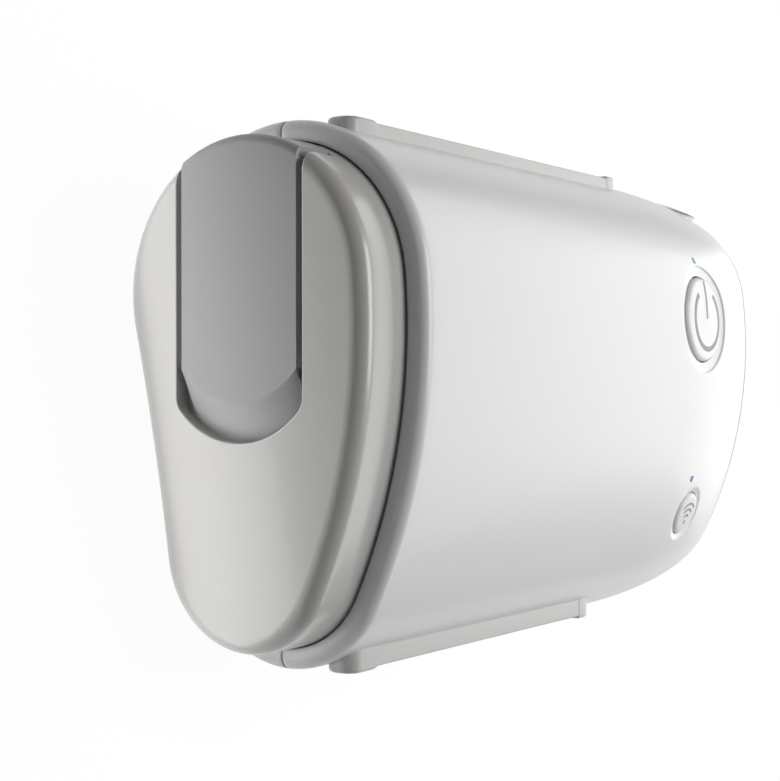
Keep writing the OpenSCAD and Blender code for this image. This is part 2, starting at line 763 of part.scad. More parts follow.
module dc_inlet() color([0.12, 0.12, 0.13]) rest() at_dc() difference() {
    union() {
        translate([0, 0, dc_proud - dc_depth + 1]) cylinder(r = dc_collar_r, h = dc_depth - 1);
        translate([0, 0, dc_proud - dc_depth - dc_floor]) cylinder(r = dc_collar_r - 1, h = 3);
    }
    translate([0, 0, dc_proud - dc_depth]) cylinder(r = dc_bore_r, h = dc_depth + 1);
    translate([0, 0, dc_proud - dc_depth - 0.8]) cylinder(r = dc_bore_r - 0.8, h = 1);
}

module dc_contact() color([0.8, 0.65, 0.3]) rest() at_dc()
    translate([0, 0, dc_proud - dc_depth - 0.8]) cylinder(r = dc_bore_r - 0.8, h = 0.8);

// ---- Air path ----

module inlet_muffler() color([0.35, 0.35, 0.37]) rest() difference() {
    x0 = front_x + rim_depth + 1.2;
    along_x(x0, 0, 0) rotate([0, 0, 90]) linear_extrude(muffler_l) polygon(outline(wall, 0));
    for (i = [-1, 0, 1]) translate([x0 - 1, 4 + i * muffler_pitch, -muffler_slot_h / 2])
        cube([muffler_l + 2, muffler_slot_w, muffler_slot_h]);
}

module section_box(d, x0, x1, top) {
    intersection() {
        along_x(x0, 0, 0) rotate([0, 0, 90]) linear_extrude(x1 - x0) polygon(outline(d, 0));
        translate([x0 - 1, -body_len / 2, -body_len]) cube([x1 - x0 + 2, body_len, body_len + top]);
    }
}

module air_chamber() color([0.3, 0.32, 0.35]) rest() difference() {
    d = wall;
    section_box(d, chamber_x0, chamber_x1, chamber_top);
    section_box(d + chamber_wall, chamber_x0 + chamber_wall, chamber_x1 - chamber_wall, chamber_top + body_len);
    translate([chamber_x0 - 1, -10, -8]) cube([4, 18, 14]);
    along_x(chamber_x1 - 2 * chamber_wall, air_y, air_z) cylinder(r = air_r + bellows_room, h = 4 * chamber_wall);
}

module chamber_lid() color([0.34, 0.36, 0.4]) rest() difference() {
    union() {
        intersection() {
            along_x(chamber_x0, 0, 0) rotate([0, 0, 90]) linear_extrude(chamber_x1 - chamber_x0)
                polygon(outline(wall, 0));
            translate([-body_len / 2, -body_len / 2, chamber_top]) cube([body_len, body_len, lid_t]);
        }
        for (s = board_fixings()) translate([s[0], s[1], chamber_top]) cylinder(r = 2.2, h = board_z - chamber_top);
    }
    for (s = board_fixings()) translate([s[0], s[1], chamber_top + lid_t]) cylinder(r = 0.8, h = 6);
}

function board_fixings() = [for (x = [chamber_x0 + 8, chamber_x1 - 6], y = [-12, 20]) [x, y]];

// Scroll in polar form: it starts just past the outlet and grows to it, clockwise.
scroll_turn = 318;
scroll_tongue = 48;
function scroll(grow) = [for (i = [0 : 40])
    let (t = i / 40, a = scroll_tongue - scroll_turn * t, r = scroll_start + (scroll_end - scroll_start) * t + grow)
    r * [cos(a), sin(a)]];

module scroll_plan(grow, reach) {
    polygon(scroll(grow));
    w = scroll_end - impeller_r + 0.4 + 2 * grow;
    translate([0, scroll_end + grow - w]) square([reach, w]);
}

function lug_spots() = [for (a = [200, 270, 330]) (lug_reach - 1) * [cos(a), sin(a)]];

module blower_base() color([0.75, 0.76, 0.78]) rest() at_blower(volute_z) difference() {
    union() {
        linear_extrude(volute_h - volute_wall) scroll_plan(volute_wall, mouth_x);
        for (s = lug_spots()) translate([s[0], s[1], 0]) cylinder(r = lug_r, h = 2.4);
    }
    translate([0, 0, volute_wall]) linear_extrude(volute_h) scroll_plan(0, mouth_x + 1);
    translate([0, 0, -tiny]) cylinder(r = bearing_r - 1, h = volute_wall + 1);
}

module blower_lid() color([0.78, 0.79, 0.8]) rest() at_blower(volute_z + volute_h - volute_wall) difference() {
    union() {
        linear_extrude(volute_wall) scroll_plan(volute_wall, mouth_x);
        ring(inlet_eye_r + 1.4, inlet_eye_r, volute_wall + 1);
    }
    translate([0, 0, -tiny]) cylinder(r = inlet_eye_r, h = 4);
}

// One backward-curved blade between hub and rim.
module blade() {
    steps = 8;
    r0 = 2.8;
    r1 = impeller_r - 0.4;
    function edge(t, w) = let (r = r0 + (r1 - r0) * t, a = 62 * t + w / r * 57.3) r * [cos(a), sin(a)];
    polygon(concat([for (i = [0 : steps]) edge(i / steps, -0.4)], [for (i = [steps : -1 : 0]) edge(i / steps, 0.4)]));
}

module impeller() color([0.9, 0.9, 0.88]) rest() at_blower(impeller_z) difference() {
    union() {
        cylinder(r = impeller_r, h = 1);
        cylinder(r1 = 5, r2 = 3.2, h = blade_h + 1);
        for (i = [0 : blades - 1]) rotate([0, 0, 360 * i / blades]) linear_extrude(blade_h + 1) blade();
    }
    translate([0, 0, -tiny]) cylinder(r = shaft_r, h = through);
}

module motor_shaft() color([0.7, 0.7, 0.72]) rest() at_blower(lower_bearing_z)
    cylinder(r = shaft_r, h = impeller_z + blade_h - lower_bearing_z);

module rotor_magnet() color([0.3, 0.3, 0.32]) rest() at_blower(lower_bearing_z + bearing_h + 0.5)
    ring(4.6, shaft_r, upper_bearing_z - lower_bearing_z - bearing_h - 1);

module bearing(z) {
    rest() at_blower(z) ring(bearing_r, shaft_r + run_gap, bearing_h);
}

module upper_bearing() color([0.65, 0.65, 0.66]) bearing(upper_bearing_z);

module lower_bearing() color([0.65, 0.65, 0.66]) bearing(lower_bearing_z);

module motor_housing() color([0.55, 0.56, 0.58]) rest() at_blower(motor_z) difference() {
    cylinder(r = motor_r, h = motor_h);
    translate([0, 0, volute_wall]) difference() {
        cylinder(r = motor_r - 1.2, h = motor_h);
        translate([0, 0, motor_h - volute_wall - bearing_h - 0.3]) ring(motor_r, bearing_r, bearing_h + 1);
    }
    translate([0, 0, volute_wall]) cylinder(r = bearing_r, h = bearing_h);
}

stator_z = lower_bearing_z + bearing_h + 0.4;
stator_h = upper_bearing_z - stator_z - 0.9;

module stator_core() color([0.4, 0.4, 0.42]) rest() at_blower(stator_z) {
    ring(motor_r - 1.2, motor_r - 2.6, stator_h);
    for (i = [0 : 5]) rotate([0, 0, 60 * i]) translate([5.2, -0.9, 0]) cube([motor_r - 2.6 - 5.2 + 0.3, 1.8, stator_h]);
}

module stator_windings() color([0.72, 0.42, 0.2]) rest() at_blower(stator_z) {
    for (i = [0 : 5]) rotate([0, 0, 60 * i]) difference() {
        translate([5.8, -1.9, 0.3]) cube([2.6, 3.8, stator_h - 0.6]);
        translate([5.7, -0.9, 0]) cube([3, 1.8, stator_h]);
    }
}

module blower_mounts() color([0.2, 0.2, 0.22]) rest() intersection() {
    at_blower(0) for (s = lug_spots()) translate([s[0], s[1], volute_z - through]) cylinder(r = mount_r, h = through);
    section_box(wall + chamber_wall, chamber_x0, chamber_x1, chamber_top);
}

module outlet_bellows() color([0.5, 0.52, 0.55]) rest() along_x(blower_x + mouth_x, air_y, air_z) {
    length = flow_x0 - blower_x - mouth_x;
    ribs = 4;
    rotate_extrude() difference() {
        union() {
            translate([air_r, 0]) square([1, length]);
            for (i = [0 : ribs - 1]) translate([air_r + 0.8, (i + 0.7) * length / (ribs + 1)]) circle(r = 0.9, $fn = 24);
        }
    }
}

module flow_tube() color([0.85, 0.85, 0.86]) rest() difference() {
    union() {
        along_x(flow_x0, air_y, air_z) cylinder(r = air_r + 1.4, h = flow_x1 - flow_x0);
        for (x = tap_xs()) translate([x, air_y, air_z]) cylinder(r = 1.3, h = sensor_z - air_z);
    }
    along_x(flow_x0 - 1, air_y, air_z) cylinder(r = air_r, h = flow_x1 - flow_x0 + 2);
    for (x = tap_xs()) translate([x, air_y, air_z]) cylinder(r = 0.6, h = through);
}

function tap_xs() = [for (i = [1, 3]) flow_x0 + (flow_x1 - flow_x0) * i / 4];
sensor_z = board_z - 3;

module flow_sensor() color([0.2, 0.2, 0.22]) rest()
    translate([tap_xs()[1] - 4, air_y - 4, sensor_z]) cube([8, 8, board_z - sensor_z]);

module pressure_sensor() color([0.25, 0.25, 0.27]) rest()
    translate([tap_xs()[0] - 3, air_y - 3, sensor_z]) cube([6, 6, board_z - sensor_z]);

// ---- Boards ----

module main_board() color([0.1, 0.38, 0.24]) rest() difference() {
    translate([board_x0, board_y0, board_z]) cube([board_x1 - board_x0, board_y1 - board_y0, board_t]);
    for (s = screw_spots) translate([s[0], s[1], 0]) cylinder(r = board_notch, h = through);
    for (s = board_fixings()) translate([s[0], s[1], 0]) cylinder(r = 1, h = through);
}

module on_board(x, y, size) {
    translate([x, y, board_z + board_t]) cube(size);
}

module processor() color([0.15, 0.15, 0.16]) rest() on_board(blower_x + 2, 2, [12, 12, 1.2]);

module radio_module() color([0.75, 0.75, 0.76]) rest() on_board(blower_x + 20, -12, [10, 14, 2]);

module capacitors() color([0.3, 0.35, 0.5]) rest()
    for (x = [6, 13]) translate([board_x0 + x, 8, board_z + board_t]) cylinder(r = 2.6, h = 3.2);

module board_connector() color([0.9, 0.88, 0.8]) rest()
    translate([pairing_x - 4.5, flex_y, board_z - 2]) cube([9, 4, 2]);

module power_switch() color([0.6, 0.6, 0.62]) rest() translate([power_x, power_y, board_z + board_t]) {
    translate([-3, -3, 0]) cube([6, 6, 1.1]);
}

module pairing_board() color([0.1, 0.38, 0.24]) rest() on_face(pairing_x, pairing_y)
    translate([-5.7, -5.7, -stem_len(pairing_h) - switch_h - board_t]) cube([11.4, 11.4, board_t]);

module pairing_switch() color([0.6, 0.6, 0.62]) rest() on_face(pairing_x, pairing_y)
    translate([-2.5, -2.5, -stem_len(pairing_h) - switch_h]) cube([5, 5, switch_h - press - 0.05]);

module status_leds() color([0.9, 0.95, 0.9]) rest() {
    for (i = [0, 1]) let (s = light_spots()[i], n = face_normal(s[0], s[1]))
        on_board(s[0] - light_len(i) * n[0] - led_w / 2, s[1] - light_len(i) * n[1] - led_w / 2, [led_w, led_w, led_h[i]]);
}

// Flat cable from the main board's connector to the underside of the pairing board.
module flex_cable() color([0.85, 0.55, 0.15]) rest() {
    end = face_z(pairing_x, pairing_y) - 6.4;
    translate([pairing_x - 2.5, flex_y - 0.3, end]) cube([5, 0.3, board_z - end]);
    on_face(pairing_x, pairing_y) translate([-2.5, 1, -stem_len(pairing_h) - switch_h - board_t - 0.3]) cube([5, 5.4, 0.3]);
}

front_shell();
rear_shell();
inlet_cap();
cap_gasket();
filter_cover();
cover_pin();
air_filter();
filter_grille();
power_button();
pairing_button();
power_light();
pairing_light();
thick_side_rail();
thin_side_rail();
feet();
case_screws();
outlet_panel();
outlet_socket();
outlet_seal();
dc_inlet();
dc_contact();
inlet_muffler();
air_chamber();
chamber_lid();
blower_base();
blower_lid();
impeller();
motor_shaft();
rotor_magnet();
stator_core();
stator_windings();
motor_housing();
upper_bearing();
lower_bearing();
blower_mounts();
outlet_bellows();
flow_tube();
flow_sensor();
pressure_sensor();
main_board();
processor();
radio_module();
capacitors();
board_connector();
power_switch();
pairing_board();
pairing_switch();
status_leds();
flex_cable();
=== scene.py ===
"""A travel CPAP machine: outer pieces, finishes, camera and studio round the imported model."""

import json
import math

import bmesh
import bpy
from mathutils import Matrix, Vector


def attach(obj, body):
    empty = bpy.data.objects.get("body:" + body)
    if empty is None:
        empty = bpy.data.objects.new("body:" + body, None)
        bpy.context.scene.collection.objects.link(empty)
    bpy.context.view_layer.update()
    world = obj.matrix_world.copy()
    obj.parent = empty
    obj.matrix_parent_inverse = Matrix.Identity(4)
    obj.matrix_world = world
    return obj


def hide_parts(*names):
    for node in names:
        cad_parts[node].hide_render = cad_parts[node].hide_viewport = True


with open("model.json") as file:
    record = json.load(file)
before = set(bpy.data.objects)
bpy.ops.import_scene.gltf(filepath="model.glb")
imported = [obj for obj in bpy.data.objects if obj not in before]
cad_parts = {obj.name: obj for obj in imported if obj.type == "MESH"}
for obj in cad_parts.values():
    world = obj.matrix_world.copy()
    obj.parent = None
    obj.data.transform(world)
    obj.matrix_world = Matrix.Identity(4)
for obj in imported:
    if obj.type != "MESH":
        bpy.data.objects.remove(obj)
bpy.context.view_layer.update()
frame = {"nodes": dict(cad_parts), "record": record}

# ---- Sizes in millimetres, in the housing's own frame ----
# X runs along the length, Y from the thin side to the thick side, Z to the control face.

MM = 0.001
HALF_LENGTH = 68.0
FRONT = -58.0
END = 63.0
THICK_R, THIN_R, LOBE_GAP = 26.1, 18.8, 38.0
FACE_R, UNDER_R = 93.0, 400.0
TAPER_LENGTH, TAPER_IN, TAPER_POWER = 35.5, 6.5, 0.6
END_LIFT, THICK_SHIFT, THIN_SHIFT = 2.9, 2.4, 0.35
WALL = 1.5
RIM_WIDTH = 3.3
RIM_ROUND = 2.0
CAP_INSET = 3.45
CAP_ROUND = 2.6
FOOT_PROUD = 0.5
RAIL_OUT, RAIL_Z, RAIL_W = 41.6, 8.0, 5.6

TAPER_START = END - TAPER_LENGTH
THICK_Y = (LOBE_GAP + THIN_R - THICK_R) / 2
THIN_Y = THICK_Y - LOBE_GAP

# The part lies tilted, with its underside's two lobes level.
TILT = math.asin((THICK_R - THIN_R) / LOBE_GAP)
THICK_REACH = (RAIL_OUT - THICK_Y) * math.cos(TILT) + (RAIL_Z + RAIL_W / 2) * math.sin(TILT)
REST_Y = (THICK_REACH - THICK_R) / 2
REST_Z = THICK_R + FOOT_PROUD - THICK_Y * math.sin(TILT)
LAY_DOWN = Matrix.Translation((0, REST_Y, REST_Z)) @ Matrix.Rotation(TILT, 4, "X")

CONTROL_FACE, UNDERSIDE = 0, 1


# ---- Outline of the housing ----

def taper(x):
    """How far the far end has drawn in at x, from 0 to 1."""
    if x <= TAPER_START:
        return 0.0
    run = min(1.0, (x - TAPER_START) / TAPER_LENGTH)
    return 1 - (1 - run * run) ** TAPER_POWER


def meet(p, a, q, b):
    """The point at distance a from p and b from q, away from the control face."""
    between = q - p
    gap = between.length
    along = (gap * gap + a * a - b * b) / (2 * gap)
    unit = between / gap
    return p + unit * along + Vector((-unit.y, unit.x)) * math.sqrt(a * a - along * along)


def heading(p, q):
    return math.atan2(q.y - p.y, q.x - p.x)


def towards(a):
    return Vector((math.cos(a), math.sin(a)))


def lobes(drawn):
    thick = Vector((THICK_Y + drawn * THICK_SHIFT, drawn * END_LIFT))
    thin = Vector((THIN_Y - drawn * THIN_SHIFT, drawn * END_LIFT))
    return thick, thin


def arcs(inset, drawn):
    """Centre, radius and two headings of each arc: control face side, then underside."""
    thick, thin = lobes(drawn)
    face = meet(thick, FACE_R - THICK_R, thin, FACE_R - THIN_R)
    under = meet(thick, UNDER_R + THICK_R, thin, UNDER_R + THIN_R)
    to_thick, to_thin = heading(face, thick), heading(face, thin)
    thin_under, thick_under = heading(thin, under), heading(thick, under)
    upper = [
        (thick, THICK_R - inset, 0, to_thick),
        (face, FACE_R - inset, to_thick, to_thin),
        (thin, THIN_R - inset, to_thin, math.pi),
    ]
    lower = [
        (thin, THIN_R - inset, -math.pi, thin_under),
        (under, UNDER_R + inset, heading(under, thin), heading(under, thick)),
        (thick, THICK_R - inset, thick_under, 0),
    ]
    return upper, lower


def trace(parts, counts):
    """Points along a run of arcs, as (y, z)."""
    points = []
    for (centre, radius, start, stop), count in zip(parts, counts):
        for i in range(1 if points else 0, count + 1):
            points.append(centre + radius * towards(start + (stop - start) * i / count))
    return points


def height(side, x, y):
    """Height of the control face or the underside at a point."""
    drawn = taper(x)
    first, middle, last = arcs(drawn * TAPER_IN, drawn)[side]
    thick, thin = (first, last) if side == CONTROL_FACE else (last, first)
    joints = [(middle[0] + middle[1] * towards(a)).x for a in middle[2:]]
    if min(joints) <= y <= max(joints):
        centre, radius = middle[:2]
        bulge = 1
    else:
        centre, radius = (thick if y > max(joints) else thin)[:2]
        bulge = 1 if side == CONTROL_FACE else -1
    return centre.y + bulge * math.sqrt(max(0.0, radius ** 2 - (y - centre.x) ** 2))


SLOPE_REACH = 3.0


def face_frame(x, y):
    """Matrix that puts Z along the control face's normal at (x, y)."""
    def slope(dx, dy):
        rise = height(CONTROL_FACE, x + dx, y + dy) - height(CONTROL_FACE, x - dx, y - dy)
        return math.atan(rise / (2 * SLOPE_REACH))

    turn = (Matrix.Rotation(-slope(SLOPE_REACH, 0), 4, "Y")
            @ Matrix.Rotation(slope(0, SLOPE_REACH), 4, "X"))
    return Matrix.Translation((x, y, height(CONTROL_FACE, x, y))) @ turn


def rounding(steps):
    """Angles over a rounded edge, from a quarter turn down to none."""
    return [math.radians(90 - 90 / steps * i) for i in range(steps + 1)]


# ---- Mesh helpers ----

def finish_piece(name, bm, body, material, slot, nodes=(), smooth=35.0, modifiers=()):
    """Makes a piece of a mesh in the housing's frame and seats it in the metre frame."""
    bm.transform(Matrix.Scale(MM, 4) @ LAY_DOWN)
    mesh = bpy.data.meshes.new(name)
    bm.to_mesh(mesh)
    bm.free()
    mesh.shade_smooth()
    mesh.set_sharp_from_angle(angle=math.radians(smooth))
    piece = bpy.data.objects.new(name, mesh)
    bpy.context.scene.collection.objects.link(piece)
    mesh.materials.append(material)
    for kind, settings in modifiers:
        modifier = piece.modifiers.new(kind.title(), kind)
        for key, value in settings.items():
            setattr(modifier, key, value)
    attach(piece, body)
    if nodes:
        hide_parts(*nodes)


def wall(thickness, **settings):
    """Gives a skin its wall, on the inner side."""
    return "SOLIDIFY", {"thickness": thickness * MM, "offset": -1.0, **settings}


def sheet(rows, columns, place):
    """Grid whose vertex at row i and column j goes to place(i, j)."""
    bm = bmesh.new()
    bmesh.ops.create_grid(bm, x_segments=rows, y_segments=columns, size=0.5)
    cells = {}
    for face in bm.faces:
        middle = face.calc_center_median()
        cells[int((middle.x + 0.5) * rows), int((middle.y + 0.5) * columns)] = face
    for vert in bm.verts:
        vert.co = place(round((vert.co.x + 0.5) * rows), round((vert.co.y + 0.5) * columns))
    return bm, cells


def once_each(items):
    """Each item once, in a fixed order, so that every run makes the same mesh."""
    return list(dict.fromkeys(items))


def new_verts(made):
    return [g for g in made if isinstance(g, bmesh.types.BMVert)]


def grow_edges(bm, edges):
    """Extrudes open edges once. Returns the new edges and their vertices."""
    made = bmesh.ops.extrude_edge_only(bm, edges=edges)["geom"]
    verts = new_verts(made)
    fresh = set(verts)
    grown = [g for g in made if isinstance(g, bmesh.types.BMEdge) and set(g.verts) <= fresh]
    return grown, verts


def pierce(bm, cells, window, rings):
    """Opens a window of cells, then carries its edge inwards through the rings.

    Each ring is a function from a vertex's place to its new place."""
    i0, i1, j0, j1 = window
    gone = [cells[i, j] for i in range(i0, i1) for j in range(j0, j1)]
    edges = [e for e in once_each(e for f in gone for e in f.edges)
             if sum(f in gone for f in e.link_faces) == 1]
    bmesh.ops.delete(bm, geom=gone, context="FACES")
    for ring in rings:
        edges, verts = grow_edges(bm, edges)
        for vert in verts:
            vert.co = ring(vert.co)


def outward(bm):
    bmesh.ops.recalc_face_normals(bm, faces=bm.faces)


def face_outwards(bm, within=Vector((0, 0, 0))):
    """Turns an open sheet so that its outer side faces away from a point within."""
    bm.normal_update()
    total = sum(f.normal.dot(f.calc_center_median() - within) * f.calc_area() for f in bm.faces)
    if total < 0:
        bmesh.ops.reverse_faces(bm, faces=bm.faces)


def round_edges(bm, edges, offset, segments):
    bmesh.ops.bevel(bm, geom=edges, offset=offset, segments=segments, profile=0.5,
                    affect="EDGES", material=-1, clamp_overlap=True)


def lathe(profile, steps=64):
    """Solid of revolution about Z from (radius, height) points, top to bottom."""
    bm = bmesh.new()
    verts = [bm.verts.new((r, 0, z)) for r, z in profile]
    edges = [bm.edges.new(pair) for pair in zip(verts, verts[1:])]
    bmesh.ops.spin(bm, geom=verts + edges, axis=(0, 0, 1), cent=(0, 0, 0), steps=steps,
                   angle=math.tau, use_merge=True, use_duplicate=False)
    bmesh.ops.remove_doubles(bm, verts=bm.verts, dist=1e-5)
    outward(bm)
    return bm


def join(*meshes):
    """One mesh of several."""
    whole = bmesh.new()
    for bm in meshes:
        part = bpy.data.meshes.new("part")
        bm.to_mesh(part)
        bm.free()
        whole.from_mesh(part)
        bpy.data.meshes.remove(part)
    return whole


# ---- Finishes ----

class Signal:
    """A shader socket, with Python's operators as Math nodes."""

    def __init__(self, finish, socket):
        self.finish, self.socket = finish, socket

    def math(self, operation, *others):
        values = dict(enumerate((self, *others)))
        return self.finish.node("ShaderNodeMath", {"operation": operation}, values)

    def __add__(self, other):
        return self.math("ADD", other)

    def __mul__(self, other):
        return self.math("MULTIPLY", other)

    __radd__ = __add__
    __rmul__ = __mul__

    def clamp(self):
        return self.finish.node("ShaderNodeClamp", {}, {0: self})


class Finish:
    """A material under construction."""

    def __init__(self, name):
        self.material = bpy.data.materials.new(name)
        self.material.use_nodes = True
        self.tree = self.material.node_tree
        self.shader = self.tree.nodes["Principled BSDF"]
        self.place = self.node("ShaderNodeTexCoord", {}, {}, "Object")

    def node(self, kind, settings, values, output=0):
        node = self.tree.nodes.new(kind)
        for key, value in settings.items():
            setattr(node, key, value)
        for key, value in values.items():
            self.feed(node.inputs[key], value)
        return Signal(self, node.outputs[output])

    def feed(self, socket, value):
        """Links a signal to a socket, or sets the socket to a plain value."""
        if isinstance(value, Signal):
            self.tree.links.new(value.socket, socket)
        else:
            socket.default_value = value

    def noise(self, scale, roughness=0.5, place=None):
        return self.node("ShaderNodeTexNoise", {}, {
            "Vector": place or self.place, "Scale": scale, "Detail": 2.0, "Roughness": roughness})

    def blend(self, factor, dark, light):
        return self.node("ShaderNodeMix", {"data_type": "RGBA"},
                         {0: factor, 6: (*dark, 1), 7: (*light, 1)}, 2)

    def bump(self, relief, strength, distance):
        return self.node("ShaderNodeBump", {},
                         {"Strength": strength, "Distance": distance, "Height": relief})

    def set(self, **values):
        for key, value in values.items():
            self.feed(self.shader.inputs[key.replace("_", " ")], value)


def dimmed(colour, share):
    return tuple(min(1.0, c * share) for c in colour)


DRIFT_SCALE, GRAIN_SCALE, GRAIN_ROUGHNESS = 45.0, 5200.0, 0.6
DRIFT_GLOSS, GRAIN_GLOSS = 0.05, 0.06
SURFACE_DEPTH = 0.02 * MM
COAT_ROUGHNESS = 0.14


def moulded(name, colour, roughness, grain=0.25, spread=0.015, coat=0.0):
    """Moulded or painted surface: a fine grain, slight drift of tone and of gloss."""
    f = Finish(name)
    drift = f.noise(DRIFT_SCALE)
    fine = f.noise(GRAIN_SCALE, GRAIN_ROUGHNESS)
    middle = (DRIFT_GLOSS + GRAIN_GLOSS) / 2
    f.set(Base_Color=f.blend(drift, dimmed(colour, 1 - spread), dimmed(colour, 1 + spread)),
          Roughness=fine * GRAIN_GLOSS + drift * DRIFT_GLOSS + (roughness - middle),
          Normal=f.bump(fine, grain, SURFACE_DEPTH),
          Coat_Weight=coat, Coat_Roughness=COAT_ROUGHNESS)
    return f.material


BRUSH_SCALE = (300.0, 6000.0, 6000.0)
BRUSH_SHADE, BRUSH_DEPTH, BRUSH_GLOSS, BRUSH_GLOSS_SHIFT = 0.92, 0.15, 0.15, 0.07


def brushed(name, colour, roughness):
    """Turned or ground metal."""
    f = Finish(name)
    streak = f.node("ShaderNodeMapping", {}, {"Vector": f.place, "Scale": BRUSH_SCALE})
    lines = f.noise(1.0, place=streak)
    f.set(Base_Color=f.blend(lines, dimmed(colour, BRUSH_SHADE), colour), Metallic=1.0,
          Roughness=lines * BRUSH_GLOSS + (roughness - BRUSH_GLOSS_SHIFT),
          Normal=f.bump(lines, BRUSH_DEPTH, SURFACE_DEPTH))
    return f.material


FIBRE_ROUGHNESS, FIBRE_STRENGTH, FIBRE_DEPTH = 0.95, 0.8, 0.4 * MM


def fibrous(name, dark, light, scale):
    """Foam or felt."""
    f = Finish(name)
    cells = f.node("ShaderNodeTexVoronoi", {}, {"Vector": f.place, "Scale": scale})
    f.set(Base_Color=f.blend(cells.clamp(), dark, light), Roughness=FIBRE_ROUGHNESS,
          Normal=f.bump(cells, FIBRE_STRENGTH, FIBRE_DEPTH))
    return f.material


HAZE_SCALE, HAZE_SHADE, HAZE_GLOSS, LENS_ROUGHNESS = 900.0, 0.85, 0.1, 0.2


def lens(name, colour, glow):
    """Light guide, hazy and dimly lit from behind."""
    f = Finish(name)
    haze = f.noise(HAZE_SCALE)
    f.set(Base_Color=f.blend(haze, dimmed(colour, HAZE_SHADE), colour),
          Roughness=haze * HAZE_GLOSS + LENS_ROUGHNESS,
          Emission_Color=(*colour, 1), Emission_Strength=glow)
    return f.material


HOUSING_WHITE = moulded("housing_white", (0.84, 0.84, 0.845), 0.34,
                        grain=0.12, spread=0.006, coat=0.15)
CAP_SATIN = moulded("cap_satin", (0.60, 0.59, 0.57), 0.32, grain=0.12, spread=0.01, coat=0.5)
COVER_SATIN = moulded("cover_satin", (0.40, 0.40, 0.40), 0.42, grain=0.15, spread=0.01)
RAIL_SOFT = moulded("rail_soft", (0.60, 0.60, 0.58), 0.34, grain=0.3, spread=0.01)
SYMBOL_GREY = moulded("symbol_grey", (0.30, 0.30, 0.31), 0.45, grain=0.1)
RUBBER_BLACK = moulded("rubber_black", (0.03, 0.03, 0.032), 0.7, grain=0.6, spread=0.1)
SILICONE = moulded("silicone_pale", (0.62, 0.62, 0.6), 0.45, grain=0.1)
DARK_PLASTIC = moulded("plastic_dark", (0.05, 0.05, 0.055), 0.4, grain=0.3, spread=0.05)
PALE_PLASTIC = moulded("plastic_pale", (0.62, 0.63, 0.64), 0.4, grain=0.3)
BOARD_GREEN = moulded("board_green", (0.02, 0.16, 0.07), 0.35, grain=0.2, spread=0.12)
CHIP_BLACK = moulded("chip_black", (0.02, 0.02, 0.022), 0.5, grain=0.4, spread=0.1)
SLEEVE_BLUE = moulded("sleeve_blue", (0.03, 0.06, 0.22), 0.3, grain=0.1)
FLEX_AMBER = moulded("flex_amber", (0.45, 0.18, 0.02), 0.3, grain=0.1, spread=0.05)
STEEL = brushed("steel_ground", (0.58, 0.58, 0.6), 0.32)
ALUMINIUM = brushed("aluminium_turned", (0.72, 0.72, 0.74), 0.35)
COPPER = brushed("copper_wire", (0.72, 0.32, 0.16), 0.35)
BRASS = brushed("contact_brass", (0.75, 0.6, 0.3), 0.3)
MAGNET = brushed("magnet_grey", (0.2, 0.2, 0.22), 0.45)
FOAM = fibrous("foam_grey", (0.03, 0.03, 0.032), (0.12, 0.12, 0.125), 1400.0)
FELT = fibrous("filter_felt", (0.6, 0.6, 0.58), (0.85, 0.85, 0.83), 2600.0)
GREEN_LENS = lens("lens_green", (0.02, 0.34, 0.08), 0.2)
BLUE_LENS = lens("lens_blue", (0.015, 0.02, 0.3), 0.35)

SLOT_FINISH = {
    "white_shell": HOUSING_WHITE, "cap_grey": CAP_SATIN, "cover_grey": COVER_SATIN,
    "rail_grey": RAIL_SOFT, "black_rubber": RUBBER_BLACK, "silicone": SILICONE,
    "green_light": GREEN_LENS, "blue_light": BLUE_LENS, "dark_plastic": DARK_PLASTIC,
    "steel": STEEL, "foam": FOAM, "felt": FELT, "light_plastic": PALE_PLASTIC,
    "magnet": MAGNET, "copper": COPPER, "contact_metal": BRASS, "motor_can": ALUMINIUM,
    "board_green": BOARD_GREEN, "chip_black": CHIP_BLACK, "tin_metal": ALUMINIUM,
    "capacitor_sleeve": SLEEVE_BLUE, "led_white": PALE_PLASTIC, "flex_amber": FLEX_AMBER,
}

for subpart in frame["record"]["subparts"]:
    for material_slot in frame["nodes"][subpart["node"]].material_slots:
        material_slot.material = SLOT_FINISH[subpart["material_slot"]]


# ---- Half housings ----

THICK_STEPS, FACE_STEPS, THIN_STEPS = 34, 34, 22
SHELL_COUNTS = {CONTROL_FACE: (THICK_STEPS, FACE_STEPS, THIN_STEPS),
                UNDERSIDE: (THIN_STEPS, FACE_STEPS, THICK_STEPS)}

# Lip inside the rim, as (behind the front, short of the rim's width), inner end first.
LIP_STEPS = ((3.6, 0.0), (1.0, 0.0), (0.35, 0.0), (0.1, 0.1), (0.0, 0.35))
STRAIGHT_X = (-54.5, -50, -47, -45, -43, -41.5, -40, -38.5, -37, -35, -33, -29, -24, -15, -6,
              3, 12, 19, 24, 25.2, 26.35)
TAPER_STEPS, TAPER_TURN = 34, math.radians(88)

# Stations are (x, inset): down the lip and over the rim's band and rounding, then the skin.
RIM_STATIONS = [(FRONT + behind, RIM_WIDTH - short) for behind, short in LIP_STEPS]
RIM_STATIONS += [(FRONT, (RIM_WIDTH + RIM_ROUND) / 2)]
RIM_STATIONS += [(FRONT + RIM_ROUND * (1 - math.sin(a)), RIM_ROUND * (1 - math.cos(a)))
                 for a in rounding(10)]
TAPER_X = [TAPER_START + TAPER_LENGTH * math.sin(TAPER_TURN * i / TAPER_STEPS)
           for i in range(TAPER_STEPS + 1)]
STATIONS = RIM_STATIONS + [(x, taper(x) * TAPER_IN) for x in (*STRAIGHT_X, *TAPER_X)]

SEAM_HALF = 0.09


